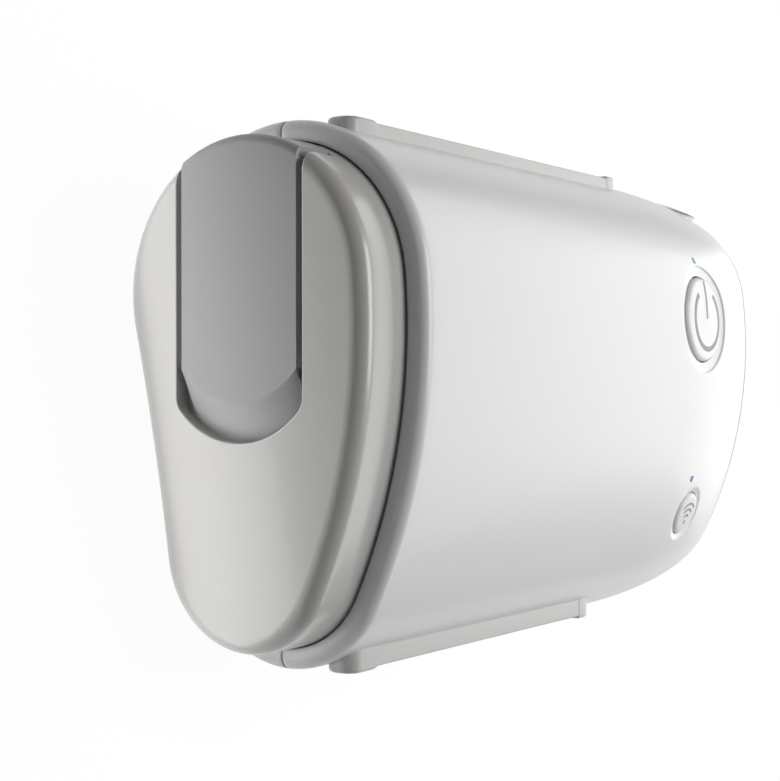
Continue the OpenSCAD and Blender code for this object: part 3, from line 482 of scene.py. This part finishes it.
def shell_rows(side):
    """Rows of points over a half housing. Both edges draw back and in, for the seam."""
    rows = []
    for x, inset in STATIONS:
        points = trace(arcs(inset, taper(x))[side], SHELL_COUNTS[side])
        row = [Vector((x, p.x, p.y)) for p in points]
        for edge, neighbour in ((0, 1), (-1, -2)):
            run = (row[edge] - row[neighbour]).length
            beside = row[edge].lerp(row[neighbour], 3 * SEAM_HALF / run)
            row[edge] = row[edge].lerp(row[neighbour], SEAM_HALF / run)
            lobe_y = THICK_Y if row[edge].y > 0 else THIN_Y
            inward = Vector((0, lobe_y, row[edge].z)) - row[edge]
            row[edge] += inward.normalized() * SEAM_HALF
            row.insert(1 if edge == 0 else -1, beside)
        rows.append(row)
    return rows


def half_housing(side, openings):
    """Skin of a half housing, with an opening for each (x, y, half_x, half_y, rings)."""
    rows = shell_rows(side)
    bm, cells = sheet(len(rows) - 1, len(rows[0]) - 1, lambda i, j: rows[i][j])
    for x, y, half_x, half_y, rings in openings:
        inside = [i for i, (station_x, _) in enumerate(STATIONS)
                  if abs(station_x - x) <= half_x and i >= len(RIM_STATIONS)]
        i0, i1 = inside[0], inside[-1]
        across = [j for j, p in enumerate(rows[(i0 + i1) // 2]) if abs(p.y - y) <= half_y]
        pierce(bm, cells, (i0, i1, across[0], across[-1]), rings)
    face_outwards(bm)
    return bm


def dish_ring(here, radius, depth):
    """Ring of a dish: keeps each vertex's direction, at a radius and a depth below the face."""
    back = here.inverted()

    def place(co):
        local = back @ co
        out = radius * towards(math.atan2(local.y, local.x))
        flat = here @ Vector((*out, 0))
        skin = Vector((flat.x, flat.y, height(CONTROL_FACE, flat.x, flat.y)))
        return skin - here.to_3x3() @ Vector((0, 0, depth))
    return place


POWER_AT, POWER_R, POWER_DISH, POWER_DISH_DEPTH = (37.2, 14.2), 8.0, 10.0, 0.66
PAIRING_AT, PAIRING_R, PAIRING_DISH, PAIRING_DISH_DEPTH = (41.8, -23.5), 4.2, 5.2, 0.3
POWER_WINDOW, PAIRING_WINDOW = 12.2, 6.9
BUTTON_GAP = 0.3
BORE_LENGTH = 2.0


def dish_rings(at, button_r, dish_r, depth):
    """Rings of a button's dish: steep wall, shallow floor, then the rounded bore."""
    here = face_frame(*at)
    bore = button_r + BUTTON_GAP
    low = 0.5 * depth
    profile = [(dish_r + 0.8, 0.0), (dish_r + 0.45, 0.01), (dish_r + 0.3, 0.06),
               (dish_r + 0.22, 0.5 * low), (dish_r + 0.17, low), (dish_r + 0.05, low + 0.06),
               (dish_r - 0.4, low + 0.12), (dish_r - 1.0, 0.5 * (low + depth) + 0.04)]
    profile = [p for p in profile if p[0] > bore + 0.25]
    profile += [(bore + 0.18, depth), (bore + 0.05, depth + 0.04), (bore, depth + 0.15),
                (bore, depth + BORE_LENGTH)]
    return [dish_ring(here, *p) for p in profile]


BUTTON_DISHES = [
    (*POWER_AT, POWER_WINDOW, POWER_WINDOW,
     dish_rings(POWER_AT, POWER_R, POWER_DISH, POWER_DISH_DEPTH)),
    (*PAIRING_AT, PAIRING_WINDOW, PAIRING_WINDOW,
     dish_rings(PAIRING_AT, PAIRING_R, PAIRING_DISH, PAIRING_DISH_DEPTH)),
]

SCREWS = [(-40, 32), (-40, -33), (38, 31), (52, -12)]
WELL_R = 2.4
WELL_WINDOW_X, WELL_WINDOW_Y = 5.2, 4.6
# Well's rings, as (radius, rise, whether the rise is from the skin or from the well's top).
WELL_STEPS = ((WELL_R + 0.4, 0.0, True), (WELL_R + 0.15, 0.02, True), (WELL_R, 0.15, True),
              (WELL_R, 0.4, False), (WELL_R, 2.4, False))


def well_ring(x, y, radius, rise, on_skin):
    """Ring of a screw's well: at a radius about the screw, above the skin or the well's top."""
    top = height(UNDERSIDE, x, y + math.copysign(WELL_R + 0.5, y))

    def place(co):
        a = math.atan2(co.y - y, co.x - x)
        px, py = x + radius * math.cos(a), y + radius * math.sin(a)
        return Vector((px, py, (height(UNDERSIDE, px, py) if on_skin else top) + rise))
    return place


SCREW_WELLS = [(x, y, WELL_WINDOW_X, WELL_WINDOW_Y, [well_ring(x, y, *step) for step in WELL_STEPS])
               for x, y in SCREWS]

for name, side, openings, node in (
        ("front_housing", CONTROL_FACE, BUTTON_DISHES, "front_shell"),
        ("rear_housing", UNDERSIDE, SCREW_WELLS, "rear_shell")):
    finish_piece(name, half_housing(side, openings), "housing", HOUSING_WHITE, "white_shell",
                 [node], modifiers=[wall(WALL, use_even_offset=False)])


# ---- Inlet cap ----

CAP_WALL = 0.9
COVER_BACK = FRONT - 2.5
CAP_SIDE_X = (-64.0, -62.2, COVER_BACK, -59.2, -58.0, -55.6)
FLAT_RING = 0.2
RECESS_HALF, RECESS_DEPTH = 12.0, 2.3
RECESS_CORNER_Y, RECESS_BOW, RECESS_CORNER = -1.5, 5.6, 3.0
RECESS_SIDE = 12.0
RECESS_TOP_Y = 30.0
RECESS_LIP_ROUND = 0.2
FILTER_LOW, FILTER_HIGH, FILTER_HALF = 2.0, 30.0, 8.5


def cap_stations(edge_round):
    """(x, inset) of the cap's skin from its face's edge back into the rim."""
    flat = [(-HALF_LENGTH, CAP_INSET + edge_round + FLAT_RING)]
    corner = [(-HALF_LENGTH + edge_round * (1 - math.sin(a)),
               CAP_INSET + edge_round * (1 - math.cos(a))) for a in rounding(12)]
    return flat + corner + [(x, CAP_INSET) for x in CAP_SIDE_X]


def cap_loop(x, inset):
    """Loop of the cap's skin. On the thick side it has points where the recess's sides run."""
    ((thick, r, _, to_thick), face, thin), (thin_low, under, (_, _, to_low, _)) = arcs(inset, 0.0)
    side = math.asin(RECESS_HALF / r)
    upper = trace([(thick, r, 0, side), (thick, r, side, to_thick), face, thin],
                  (12, 18, 30, 28))
    lower = trace([thin_low, under, (thick, r, to_low, -side), (thick, r, -side, 0)],
                  (28, 30, 22, 12))
    return [Vector((x, p.x, p.y)) for p in upper + lower[1:-1]]


def bowed(corner_y, bow, half, z):
    """Y at z of an edge that bows down from corner_y at either side, at half from the middle."""
    r = (half * half + bow * bow) / (2 * bow)
    return corner_y - bow + r - math.sqrt(r * r - z * z)


def rounded_corner(points, at, radius, steps=5):
    """Replaces the corner at index `at` of a path by an arc."""
    before, corner, after = points[at - 1], points[at], points[at + 1]
    u, v = (before - corner).normalized(), (after - corner).normalized()
    half = u.angle(v) / 2
    reach = radius / math.tan(half)
    centre = corner + (u + v).normalized() * radius / math.sin(half)
    a, b = corner + u * reach - centre, corner + v * reach - centre
    arc = [centre + a.lerp(b, i / steps).normalized() * radius for i in range(steps + 1)]
    return points[:at] + arc + points[at + 1:]


def loops_skin(loops):
    """Skin through closed loops of equal count. Returns the mesh and its first face."""
    bm = bmesh.new()
    ring = [bm.verts.new(p) for p in loops[0]]
    first = bm.faces.new(ring)
    for loop in loops[1:]:
        edges = [bm.edges.get(pair) for pair in zip(ring, ring[1:] + ring[:1])]
        fresh = set(grow_edges(bm, edges)[1])
        ring = [next(e.other_vert(v) for e in v.link_edges if e.other_vert(v) in fresh)
                for v in ring]
        for vert, point in zip(ring, loop):
            vert.co = point
    outward(bm)
    return bm, first


def recess_path():
    """U-shaped line of the recess on the cap's face, from one side line to the other."""
    path = [Vector((-HALF_LENGTH, bowed(RECESS_CORNER_Y, RECESS_BOW, RECESS_HALF, z), z))
            for z in (RECESS_HALF * (1 - i / 12) for i in range(25))]
    side_y = RECESS_CORNER_Y + RECESS_SIDE
    path = [Vector((-HALF_LENGTH, side_y, RECESS_HALF)), *path,
            Vector((-HALF_LENGTH, side_y, -RECESS_HALF))]
    path = rounded_corner(path, len(path) - 2, RECESS_CORNER)
    return rounded_corner(path, 1, RECESS_CORNER)


def in_recess(face):
    """Whether a face of the cap's skin lies on the recess."""
    middle = face.calc_center_bounds()
    return (abs(middle.z) < RECESS_HALF - 0.01 and middle.x < COVER_BACK and middle.y > 8.0
            and max(abs(v.co.z) for v in face.verts) < RECESS_HALF + 0.01)


def sink_recess(bm):
    """Sinks the recess's faces along their own normals. Returns them and the recess's lip."""
    gone = [f for f in bm.faces if in_recess(f)]
    inwards = {v.co.copy().freeze():
               -sum((g.normal for g in v.link_faces if g in gone), Vector()).normalized()
               for f in gone for v in f.verts}
    made = bmesh.ops.extrude_face_region(bm, geom=gone)["geom"]
    bmesh.ops.delete(bm, geom=[f for f in gone if f.is_valid], context="FACES")
    for v in new_verts(made):
        v.co += inwards[v.co.copy().freeze()] * RECESS_DEPTH
    sunk = [g for g in made if isinstance(g, bmesh.types.BMFace) and g.is_valid]
    low = {v for f in sunk for v in f.verts}
    walls = [f for f in bm.faces if f not in sunk and any(v in low for v in f.verts)]
    lip = [e for e in once_each(e for f in walls for e in f.edges)
           if not any(v in low for v in e.verts)]
    return sunk, lip


def open_filter_window(bm, sunk):
    """Cuts the opening for the filter in the flat of the recess's floor."""
    plates = [f for f in sunk if len(f.verts) > 20]
    for co, no in (((0, FILTER_LOW, 0), (0, 1, 0)), ((0, FILTER_HIGH, 0), (0, 1, 0)),
                   ((0, 0, FILTER_HALF), (0, 0, 1)), ((0, 0, -FILTER_HALF), (0, 0, 1))):
        edges = once_each(e for f in plates for e in f.edges)
        verts = once_each(v for f in plates for v in f.verts)
        cut = bmesh.ops.bisect_plane(bm, geom=[*plates, *edges, *verts], dist=1e-5,
                                     plane_co=co, plane_no=no)["geom"]
        plates = [g for g in cut if isinstance(g, bmesh.types.BMFace)]
    middles = {f: f.calc_center_bounds() for f in plates}
    window = [f for f, middle in middles.items()
              if abs(middle.z) < FILTER_HALF - 0.1 and FILTER_LOW < middle.y < FILTER_HIGH]
    bmesh.ops.delete(bm, geom=window, context="FACES")


def inlet_cap():
    bm, face = loops_skin([cap_loop(*station) for station in cap_stations(CAP_ROUND)])
    if face.normal.x > 0:
        bmesh.ops.reverse_faces(bm, faces=bm.faces)
    sides = [min(face.verts, key=lambda v: (v.co.z - z) ** 2 + (RECESS_TOP_Y - v.co.y) ** 2 * 0.01)
             for z in (RECESS_HALF, -RECESS_HALF)]
    bmesh.utils.face_split(face, *sides, coords=[tuple(p) for p in recess_path()])
    bm.normal_update()
    sunk, lip = sink_recess(bm)
    open_filter_window(bm, sunk)
    round_edges(bm, [e for e in lip if e.is_valid], RECESS_LIP_ROUND, 2)
    return bm


finish_piece("inlet_cap_skin", inlet_cap(), "housing", CAP_SATIN, "cap_grey", ["inlet_cap"],
             smooth=20.0, modifiers=[wall(CAP_WALL)])


# ---- Filter cover ----

COVER_HALF, COVER_WALL, COVER_ROUND = 11.0, 2.0, 1.5
COVER_LOW_Y, COVER_BOW = -1.9, 5.0
COVER_CORNER_REACH, COVER_CORNER_RISE = 3.0, 2.2
SCOOP_TOP_Y, SCOOP_BOW, SCOOP_DEPTH = 3.75, 5.0, 1.9
SCOOP_EDGE, FLAT_START = 0.12, 0.6
SCOOP_STEPS, FLAT_STEPS, WIDTH_STEPS = 8, 8, 14
COVER_EDGE_ROUND, COVER_EDGE_ANGLE = 0.3, 0.9
BEHIND_COVER = Vector((-50, 10, 0))


def cover_profile(z):
    """(x, y) up the cover at z: scoop, flat, then over the rolled edge to its back."""
    low = bowed(COVER_LOW_Y, COVER_BOW, COVER_HALF, z)
    into_corner = max(0.0, abs(z) - (COVER_HALF - COVER_CORNER_REACH)) / COVER_CORNER_REACH
    low += COVER_CORNER_RISE * (1 - math.sqrt(max(0.0, 1 - into_corner ** 2)))
    top = bowed(SCOOP_TOP_Y, SCOOP_BOW, COVER_HALF, z)
    points = [(-HALF_LENGTH + SCOOP_DEPTH * (1 - i / SCOOP_STEPS),
               low + (top - low) * i / SCOOP_STEPS) for i in range(SCOOP_STEPS + 1)]
    points += [(-HALF_LENGTH, top + SCOOP_EDGE)]
    flat_y = top + FLAT_START
    edge_y = THICK_Y + math.sqrt((THICK_R - CAP_INSET - COVER_ROUND) ** 2 - z * z)
    points += [(-HALF_LENGTH, flat_y + (edge_y - flat_y) * i / FLAT_STEPS)
               for i in range(FLAT_STEPS + 1)]
    rolled = [s for s in cap_stations(COVER_ROUND)[2:] if s[0] <= COVER_BACK]
    return points + [(x, THICK_Y + math.sqrt((THICK_R - inset) ** 2 - z * z))
                     for x, inset in rolled]


def filter_cover():
    zs = [COVER_HALF * math.sin(math.pi / 2 * i / WIDTH_STEPS)
          for i in range(-WIDTH_STEPS, WIDTH_STEPS + 1)]
    rows = [[Vector((x, y, z)) for x, y in cover_profile(z)] for z in zs]
    bm, _ = sheet(len(rows) - 1, len(rows[0]) - 1, lambda i, j: rows[i][j])
    face_outwards(bm, BEHIND_COVER)
    bmesh.ops.solidify(bm, geom=[*bm.verts, *bm.edges, *bm.faces], thickness=COVER_WALL)
    outward(bm)
    rim = [e for e in bm.edges
           if len(e.link_faces) == 2 and e.calc_face_angle(0) > COVER_EDGE_ANGLE]
    round_edges(bm, rim, COVER_EDGE_ROUND, 3)
    return bm


finish_piece("filter_cover_skin", filter_cover(), "cover", COVER_SATIN, "cover_grey",
             ["filter_cover"], smooth=25.0)


# ---- Buttons, symbols and lights ----

BUTTON_STEPS = 96
BUTTON_CROWN = (0, 0.2, 0.4, 0.6, 0.8, 0.93, 1)
BUTTON_UNDER, BUTTON_UNDER_DROP = 0.4, 0.1
INLAY_DEPTH, INLAY_PROUD = 0.12, 0.03
POWER_SINK, PAIRING_SINK, LIGHT_SINK = 0.05, -0.2, -0.07


def drape(bm, at):
    """Lays a mesh drawn about Z onto the control face: X and Y follow the face, Z its normal."""
    here = face_frame(*at)
    up = here.to_3x3() @ Vector((0, 0, 1))
    for v in bm.verts:
        flat = here @ Vector((v.co.x, v.co.y, 0))
        v.co = Vector((flat.x, flat.y, height(CONTROL_FACE, flat.x, flat.y))) + up * v.co.z
    return bm


def button_cap(at, r, sink, round_r, deep):
    """Button whose crowned top follows the face and rolls over at its edge."""
    top = [((r - round_r) * t, -sink) for t in BUTTON_CROWN]
    edge = [(r - round_r * (1 - math.sin(a)), -sink - round_r * (1 - math.cos(a)))
            for a in rounding(9)[-2::-1]]
    under = [(r, -deep), (r - BUTTON_UNDER, -deep - BUTTON_UNDER_DROP)]
    return drape(lathe(top + edge + under, BUTTON_STEPS), at)


def inlay(at, strokes, sink):
    """Thin inlaid marks: each stroke is a list of (left, right) points across it."""
    bm = bmesh.new()
    for stroke in strokes:
        pairs = [[bm.verts.new((*p, 0.0)) for p in pair] for pair in stroke]
        for (a, b), (c, d) in zip(pairs, pairs[1:]):
            bm.faces.new((a, b, d, c))
    bm.normal_update()
    for f in bm.faces:
        if f.normal.z < 0:
            f.normal_flip()
    made = bmesh.ops.extrude_face_region(bm, geom=list(bm.faces))["geom"]
    for v in bm.verts:
        v.co.z = -sink - INLAY_DEPTH
    for v in new_verts(made):
        v.co.z = -sink + INLAY_PROUD
    outward(bm)
    return drape(bm, at)


def arc_stroke(r_in, r_out, start, stop, steps, centre):
    turns = [math.radians(start + (stop - start) * i / steps) for i in range(steps + 1)]
    return [[Vector(centre) + r * towards(a) for r in (r_in, r_out)] for a in turns]


def bar_stroke(u0, u1, v0, v1, steps):
    vs = [v0 + (v1 - v0) * i / steps for i in range(steps + 1)]
    return [[(u0, v), (u1, v)] for v in vs]


SYMBOL_SHIFT, BAR_HALF = 0.9, 0.36
POWER_SYMBOL = [arc_stroke(5.25, 6.2, 126, 414, 56, (SYMBOL_SHIFT, 0)),
                bar_stroke(SYMBOL_SHIFT - BAR_HALF, SYMBOL_SHIFT + BAR_HALF, 0.1, 7.3, 10)]

WAVE_FOOT, WAVE_WIDTH, DOT_R = (0, -1.7), 0.45, 0.42
PAIRING_SYMBOL = [arc_stroke(0.0, DOT_R, 0, 360, 16, WAVE_FOOT)]
PAIRING_SYMBOL += [arc_stroke(r, r + WAVE_WIDTH, 48, 132, steps, WAVE_FOOT)
                   for r, steps in ((1.25, 12), (2.45, 14), (3.65, 16))]

LIGHT_DASH = [bar_stroke(-0.38, 0.38, -0.6, 0.6, 4)]
POWER_LIGHT_AT = (POWER_AT[0] - 0.9, POWER_AT[1] + POWER_DISH + 1.2)
PAIRING_LIGHT_AT = (PAIRING_AT[0] - 2.9, PAIRING_AT[1] + PAIRING_DISH + 1.8)

for name, bm, body, node in (
        ("power_button_cap", button_cap(POWER_AT, POWER_R, POWER_SINK, 0.8, 3.0),
         "power_key", "power_button"),
        ("pairing_button_cap", button_cap(PAIRING_AT, PAIRING_R, PAIRING_SINK, 0.7, 2.6),
         "pairing_key", "pairing_button")):
    finish_piece(name, bm, body, HOUSING_WHITE, "white_shell", [node], smooth=40.0)
for name, at, symbol, sink, body in (
        ("power_symbol", POWER_AT, POWER_SYMBOL, POWER_SINK, "power_key"),
        ("pairing_symbol", PAIRING_AT, PAIRING_SYMBOL, PAIRING_SINK, "pairing_key")):
    finish_piece(name, inlay(at, symbol, sink), body, SYMBOL_GREY, "cover_grey")
for name, at, material, slot, node in (
        ("power_light_lens", POWER_LIGHT_AT, GREEN_LENS, "green_light", "power_light"),
        ("pairing_light_lens", PAIRING_LIGHT_AT, BLUE_LENS, "blue_light", "pairing_light")):
    finish_piece(name, inlay(at, LIGHT_DASH, LIGHT_SINK), "housing", material, slot, [node])


# ---- Grip rails ----

RAIL_SET_BACK, RAIL_PROUD = 3.2, 1.4
RAIL_FRONT = FRONT + RAIL_SET_BACK
RAIL_TOP = THICK_Y + math.sqrt(THICK_R ** 2 - RAIL_Z ** 2) + RAIL_PROUD
RAIL_ROOT = 5.0
STRIP_W, STRIP_STEP, STRIP_ROUND = RAIL_W - 0.2, 0.4, 0.35
STRIP_FRONT, STRIP_REAR = 4.0, 2.5
PAD_ROUND, PAD_STEPS = 0.6, 8
FRONT_PAD = {"length": 14.0, "front_r": 2.4, "rear_r": 0.8, "slope": 7.8}
REAR_PAD = {"length": 5.0, "front_r": 0.5, "rear_r": 2.4, "slope": 0.4}


def round_top(bm, top, offset, segments):
    """Rounds the edges that lie at Y = top."""
    rim = [e for e in bm.edges if all(abs(v.co.y - top) < 1e-3 for v in e.verts)]
    round_edges(bm, rim, offset, segments)


def pad(x0, side, length, front_r, rear_r, slope):
    """Raised pad, drawn as its plan along the side and carried out from the housing."""
    x1, half = x0 + length, RAIL_W / 2
    plan = []
    for r, x, z_side, start in ((front_r, x0 + front_r, 1, 90), (front_r, x0 + front_r, -1, 180),
                                (rear_r, x1 - rear_r, -1, -90), (rear_r, x1 - rear_r, 1, 0)):
        for i in range(PAD_STEPS + 1):
            out = r * towards(math.radians(start + 90 * i / PAD_STEPS))
            plan.append((x + out.x, RAIL_Z + z_side * (half - r) + out.y))
    bm = bmesh.new()
    root = bm.faces.new([bm.verts.new((x, side * (RAIL_TOP - RAIL_ROOT), z)) for x, z in plan])
    for v in new_verts(bmesh.ops.extrude_face_region(bm, geom=[root])["geom"]):
        v.co.y = side * RAIL_TOP
        if v.co.x > x1 - rear_r - 0.01:
            v.co.x -= slope
    bmesh.ops.remove_doubles(bm, verts=bm.verts, dist=1e-4)
    outward(bm)
    round_top(bm, side * RAIL_TOP, PAD_ROUND, 4)
    return bm


def strip(x0, x1, side):
    """Strip between the pads, a step below their tops."""
    top = RAIL_TOP - STRIP_STEP
    bm = bmesh.new()
    bmesh.ops.create_cube(bm, size=1.0)
    for v in bm.verts:
        v.co = Vector((x0 if v.co.x < 0 else x1,
                       side * (top if v.co.y > 0 else top - RAIL_ROOT),
                       RAIL_Z + v.co.z * STRIP_W))
    outward(bm)
    round_top(bm, side * top, STRIP_ROUND, 3)
    return bm


for name, side, rear, node in (("thick_side_grip", 1, END - 32.2, "thick_side_rail"),
                               ("thin_side_grip", -1, END - 43.4, "thin_side_rail")):
    rail = join(pad(RAIL_FRONT, side, **FRONT_PAD),
                strip(RAIL_FRONT + STRIP_FRONT, rear - STRIP_REAR, side),
                pad(rear - REAR_PAD["length"], side, **REAR_PAD))
    finish_piece(name, rail, "housing", RAIL_SOFT, "rail_grey", [node], smooth=30.0)


# ---- End panel ----

AIR_Y, AIR_Z, OUTLET_R = THICK_Y + 2.3, 2.9, 8.5
SOCKET_WALL, SOCKET_GAP = 1.8, 0.15
HOLE_R = OUTLET_R + SOCKET_WALL + SOCKET_GAP
PANEL_X = END - 0.05
PANEL_WALL = 1.2
PANEL_GAP, DOME_IN, DOME_EDGE, DOME_SHORT = 0.2, 7.0, 1.0, 0.6
DOME_HIGH = HALF_LENGTH - DOME_SHORT - PANEL_X
END_DRAWN = taper(PANEL_X)
# Panel's edge, as (x from the panel's seat, inset from the housing's skin), outer end first.
PANEL_EDGE = ((0.3, 0.3), (0.0, 0.6), (-0.4, 2.6), (-3.0, 2.75))


def end_loop(x, inset):
    upper, lower = arcs(inset + END_DRAWN * TAPER_IN, END_DRAWN)
    points = trace(upper, (20, 20, 16)) + trace(lower, (16, 20, 20))[1:-1]
    return [Vector((PANEL_X + x, p.x, p.y)) for p in points]


def end_panel():
    loops = [end_loop(DOME_HIGH, PANEL_GAP + DOME_IN + 2 * FLAT_RING)]
    loops += [end_loop(DOME_EDGE + (DOME_HIGH - DOME_EDGE) * math.sin(a),
                       PANEL_GAP + DOME_IN * (1 - math.cos(a))) for a in rounding(12)]
    loops += [end_loop(*step) for step in PANEL_EDGE]
    bm, face = loops_skin(loops)
    if face.normal.x < 0:
        bmesh.ops.reverse_faces(bm, faces=bm.faces)

    # The flat is split along the hole's upper half, then along its lower half.
    x = face.calc_center_median().x
    centre = Vector((AIR_Y, AIR_Z))

    def rim_point(i):
        return Vector((x, *(centre + HOLE_R * towards(math.pi * i / 24))))

    thick_end = max(face.verts, key=lambda v: v.co.y)
    thin_end = min(face.verts, key=lambda v: v.co.y)
    bmesh.utils.face_split(face, thick_end, thin_end, coords=[rim_point(i) for i in range(25)])
    start, stop = (min(bm.verts, key=lambda v: (v.co - rim_point(i)).length) for i in (0, 24))
    lower = min((f for f in start.link_faces if stop in list(f.verts)),
                key=lambda f: min(v.co.z for v in f.verts))
    bmesh.utils.face_split(lower, start, stop, coords=[rim_point(-i) for i in range(1, 24)])
    disc = [f for f in start.link_faces if all(
        abs((v.co.yz - centre).length - HOLE_R) < 0.01 for v in f.verts)]
    bmesh.ops.delete(bm, geom=disc, context="FACES")
    return bm


finish_piece("end_panel", end_panel(), "housing", COVER_SATIN, "cover_grey", ["outlet_panel"],
             smooth=30.0, modifiers=[wall(PANEL_WALL)])


# ---- Feet and power inlet ----

def seated(bm, seat):
    """Moves a mesh, drawn about Z, from the resting frame into the housing's frame."""
    bm.transform(LAY_DOWN.inverted() @ seat)
    return bm


FOOT_R, FOOT_T, FOOT_STEPS = 4.6, 1.6, 48
FOOT_PROFILE = [(0, FOOT_T), (FOOT_R, FOOT_T), (FOOT_R, 0.5), (FOOT_R - 0.1, 0.2),
                (FOOT_R - 0.3, 0.05), (FOOT_R - 0.6, 0.0), (0, 0.0)]
FOOT_X = (FRONT + 14, END - 43)
FOOT_SEATS = [Matrix.Translation((x, y * math.cos(TILT) + REST_Y, 0))
              for x in FOOT_X for y in (THICK_Y, THIN_Y)]
feet = join(*(seated(lathe(FOOT_PROFILE, FOOT_STEPS), seat) for seat in FOOT_SEATS))
finish_piece("rubber_feet", feet, "housing", RUBBER_BLACK, "black_rubber", ["feet"])

inlet = next(m for m in frame["record"]["mounts"] if m["name"] == "power_inlet")
INLET_SEAT = (Matrix.Translation(Vector(inlet["pos_m"]) / MM)
              @ Vector(inlet["axis"]).to_track_quat("Z", "X").to_matrix().to_4x4())
LIP_PROFILE = [(3.55, -3.0), (3.55, -0.2), (3.65, -0.06), (3.8, 0.0), (4.1, -0.02),
               (4.35, -0.14), (4.5, -0.4), (4.5, -3.0), (3.55, -3.0)]
SOCKET_PROFILE = [(3.3, -0.3), (3.53, -0.3), (3.53, -6.9), (0, -6.9), (0, -6.8), (2.5, -6.8),
                  (2.5, -6.0), (3.3, -6.0), (3.3, -0.3)]
finish_piece("power_inlet_lip", seated(lathe(LIP_PROFILE), INLET_SEAT), "housing",
             HOUSING_WHITE, "white_shell")
finish_piece("power_inlet_socket", seated(lathe(SOCKET_PROFILE), INLET_SEAT), "housing",
             DARK_PLASTIC, "dark_plastic", ["dc_inlet"])


# ---- Camera, floor and light, in metres ----

CAMERA_AT = Vector((-0.235428, -0.027179, 0.168570))
LOOK = Vector((0.812084, 0.113344, -0.572428))
RIGHT = Vector((0.583541, -0.157735, 0.796618))
UP = Vector((0.0, 0.980955, 0.194234))

camera_data = bpy.data.cameras.new("camera")
camera_data.sensor_fit = "HORIZONTAL"
camera_data.sensor_width = 36.0
camera_data.lens = 70.6529
camera_data.clip_start = 0.01
camera = bpy.data.objects.new("camera", camera_data)
camera.matrix_world = (Matrix.Translation(CAMERA_AT)
                       @ Matrix((RIGHT, UP, -LOOK)).transposed().to_4x4())
bpy.context.scene.collection.objects.link(camera)
bpy.context.scene.camera = camera

FLOOR_PALE, FLOOR_ROUGHNESS, FLOOR_WHITE, FLOOR_SEEN = (0.86, 0.86, 0.86, 1), 0.8, 1.03, 0.93
FLOOR_REACH, FLOOR_DROP = 6.0, 0.0002


def floor_finish():
    """Floor that rays see as near white, and that takes a faint shadow."""
    f = Finish("floor_pale")
    camera_ray, glossy_ray, transmitted_ray = (
        f.node("ShaderNodeLightPath", {}, {}, ray)
        for ray in ("Is Camera Ray", "Is Glossy Ray", "Is Transmission Ray"))
    white = f.node("ShaderNodeEmission", {}, {"Color": (1, 1, 1, 1), "Strength": FLOOR_WHITE})
    f.set(Base_Color=FLOOR_PALE, Roughness=FLOOR_ROUGHNESS)
    lit = Signal(f, f.shader.outputs[0])
    share = (camera_ray + glossy_ray + transmitted_ray).clamp() * FLOOR_SEEN
    mixed = f.node("ShaderNodeMixShader", {}, {0: share, 1: lit, 2: white})
    f.feed(f.tree.nodes["Material Output"].inputs["Surface"], mixed)
    return f.material


floor_mesh = bpy.data.meshes.new("floor")
bm = bmesh.new()
bmesh.ops.create_grid(bm, x_segments=1, y_segments=1, size=FLOOR_REACH)
bm.to_mesh(floor_mesh)
bm.free()
floor = bpy.data.objects.new("floor", floor_mesh)
floor.location.z = -FLOOR_DROP
bpy.context.scene.collection.objects.link(floor)
floor_mesh.materials.append(floor_finish())


def softbox(name, place, aim_at, size, watts):
    """Rectangular studio light at a place, turned to a point of the object."""
    data = bpy.data.lights.new(name, "AREA")
    data.shape = "RECTANGLE"
    data.size, data.size_y = size
    data.energy = watts
    light = bpy.data.objects.new(name, data)
    light.location = place
    light.rotation_mode = "QUATERNION"
    light.rotation_quaternion = (Vector(place) - Vector(aim_at)).to_track_quat("Z", "Y")
    light.visible_camera = False
    bpy.context.scene.collection.objects.link(light)


softbox("far_wide", (0.55, -0.08, 0.37), (0.0, 0.0, 0.05), (1.30, 0.28), 2.3)
softbox("overhead", (0.08, 0.0, 0.45), (0.08, 0.0, 0.0), (0.20, 0.30), 1.15)
softbox("far_end", (0.42, 0.0, 0.10), (0.05, 0.0, 0.04), (0.30, 0.14), 0.30)
softbox("foot_glow", (-0.0885, 0.006, 0.0006), (-0.0885, 0.006, 0.5), (0.026, 0.11), 0.023)

# The world lights the object dimly, and the camera sees it as white.
WORLD_LIGHT = 0.07

world = bpy.data.worlds.new("studio")
bpy.context.scene.world = world
world.use_nodes = True
nodes, links = world.node_tree.nodes, world.node_tree.links
background = nodes["Background"]
background.inputs["Color"].default_value = (1, 1, 1, 1)
background.inputs["Strength"].default_value = WORLD_LIGHT
seen_world = nodes.new("ShaderNodeBackground")
seen_world.inputs["Color"].default_value = (1, 1, 1, 1)
chosen = nodes.new("ShaderNodeMixShader")
links.new(nodes.new("ShaderNodeLightPath").outputs["Is Camera Ray"], chosen.inputs[0])
links.new(background.outputs[0], chosen.inputs[1])
links.new(seen_world.outputs[0], chosen.inputs[2])
links.new(chosen.outputs[0], nodes["World Output"].inputs["Surface"])

bpy.context.scene.view_settings.view_transform = "Standard"
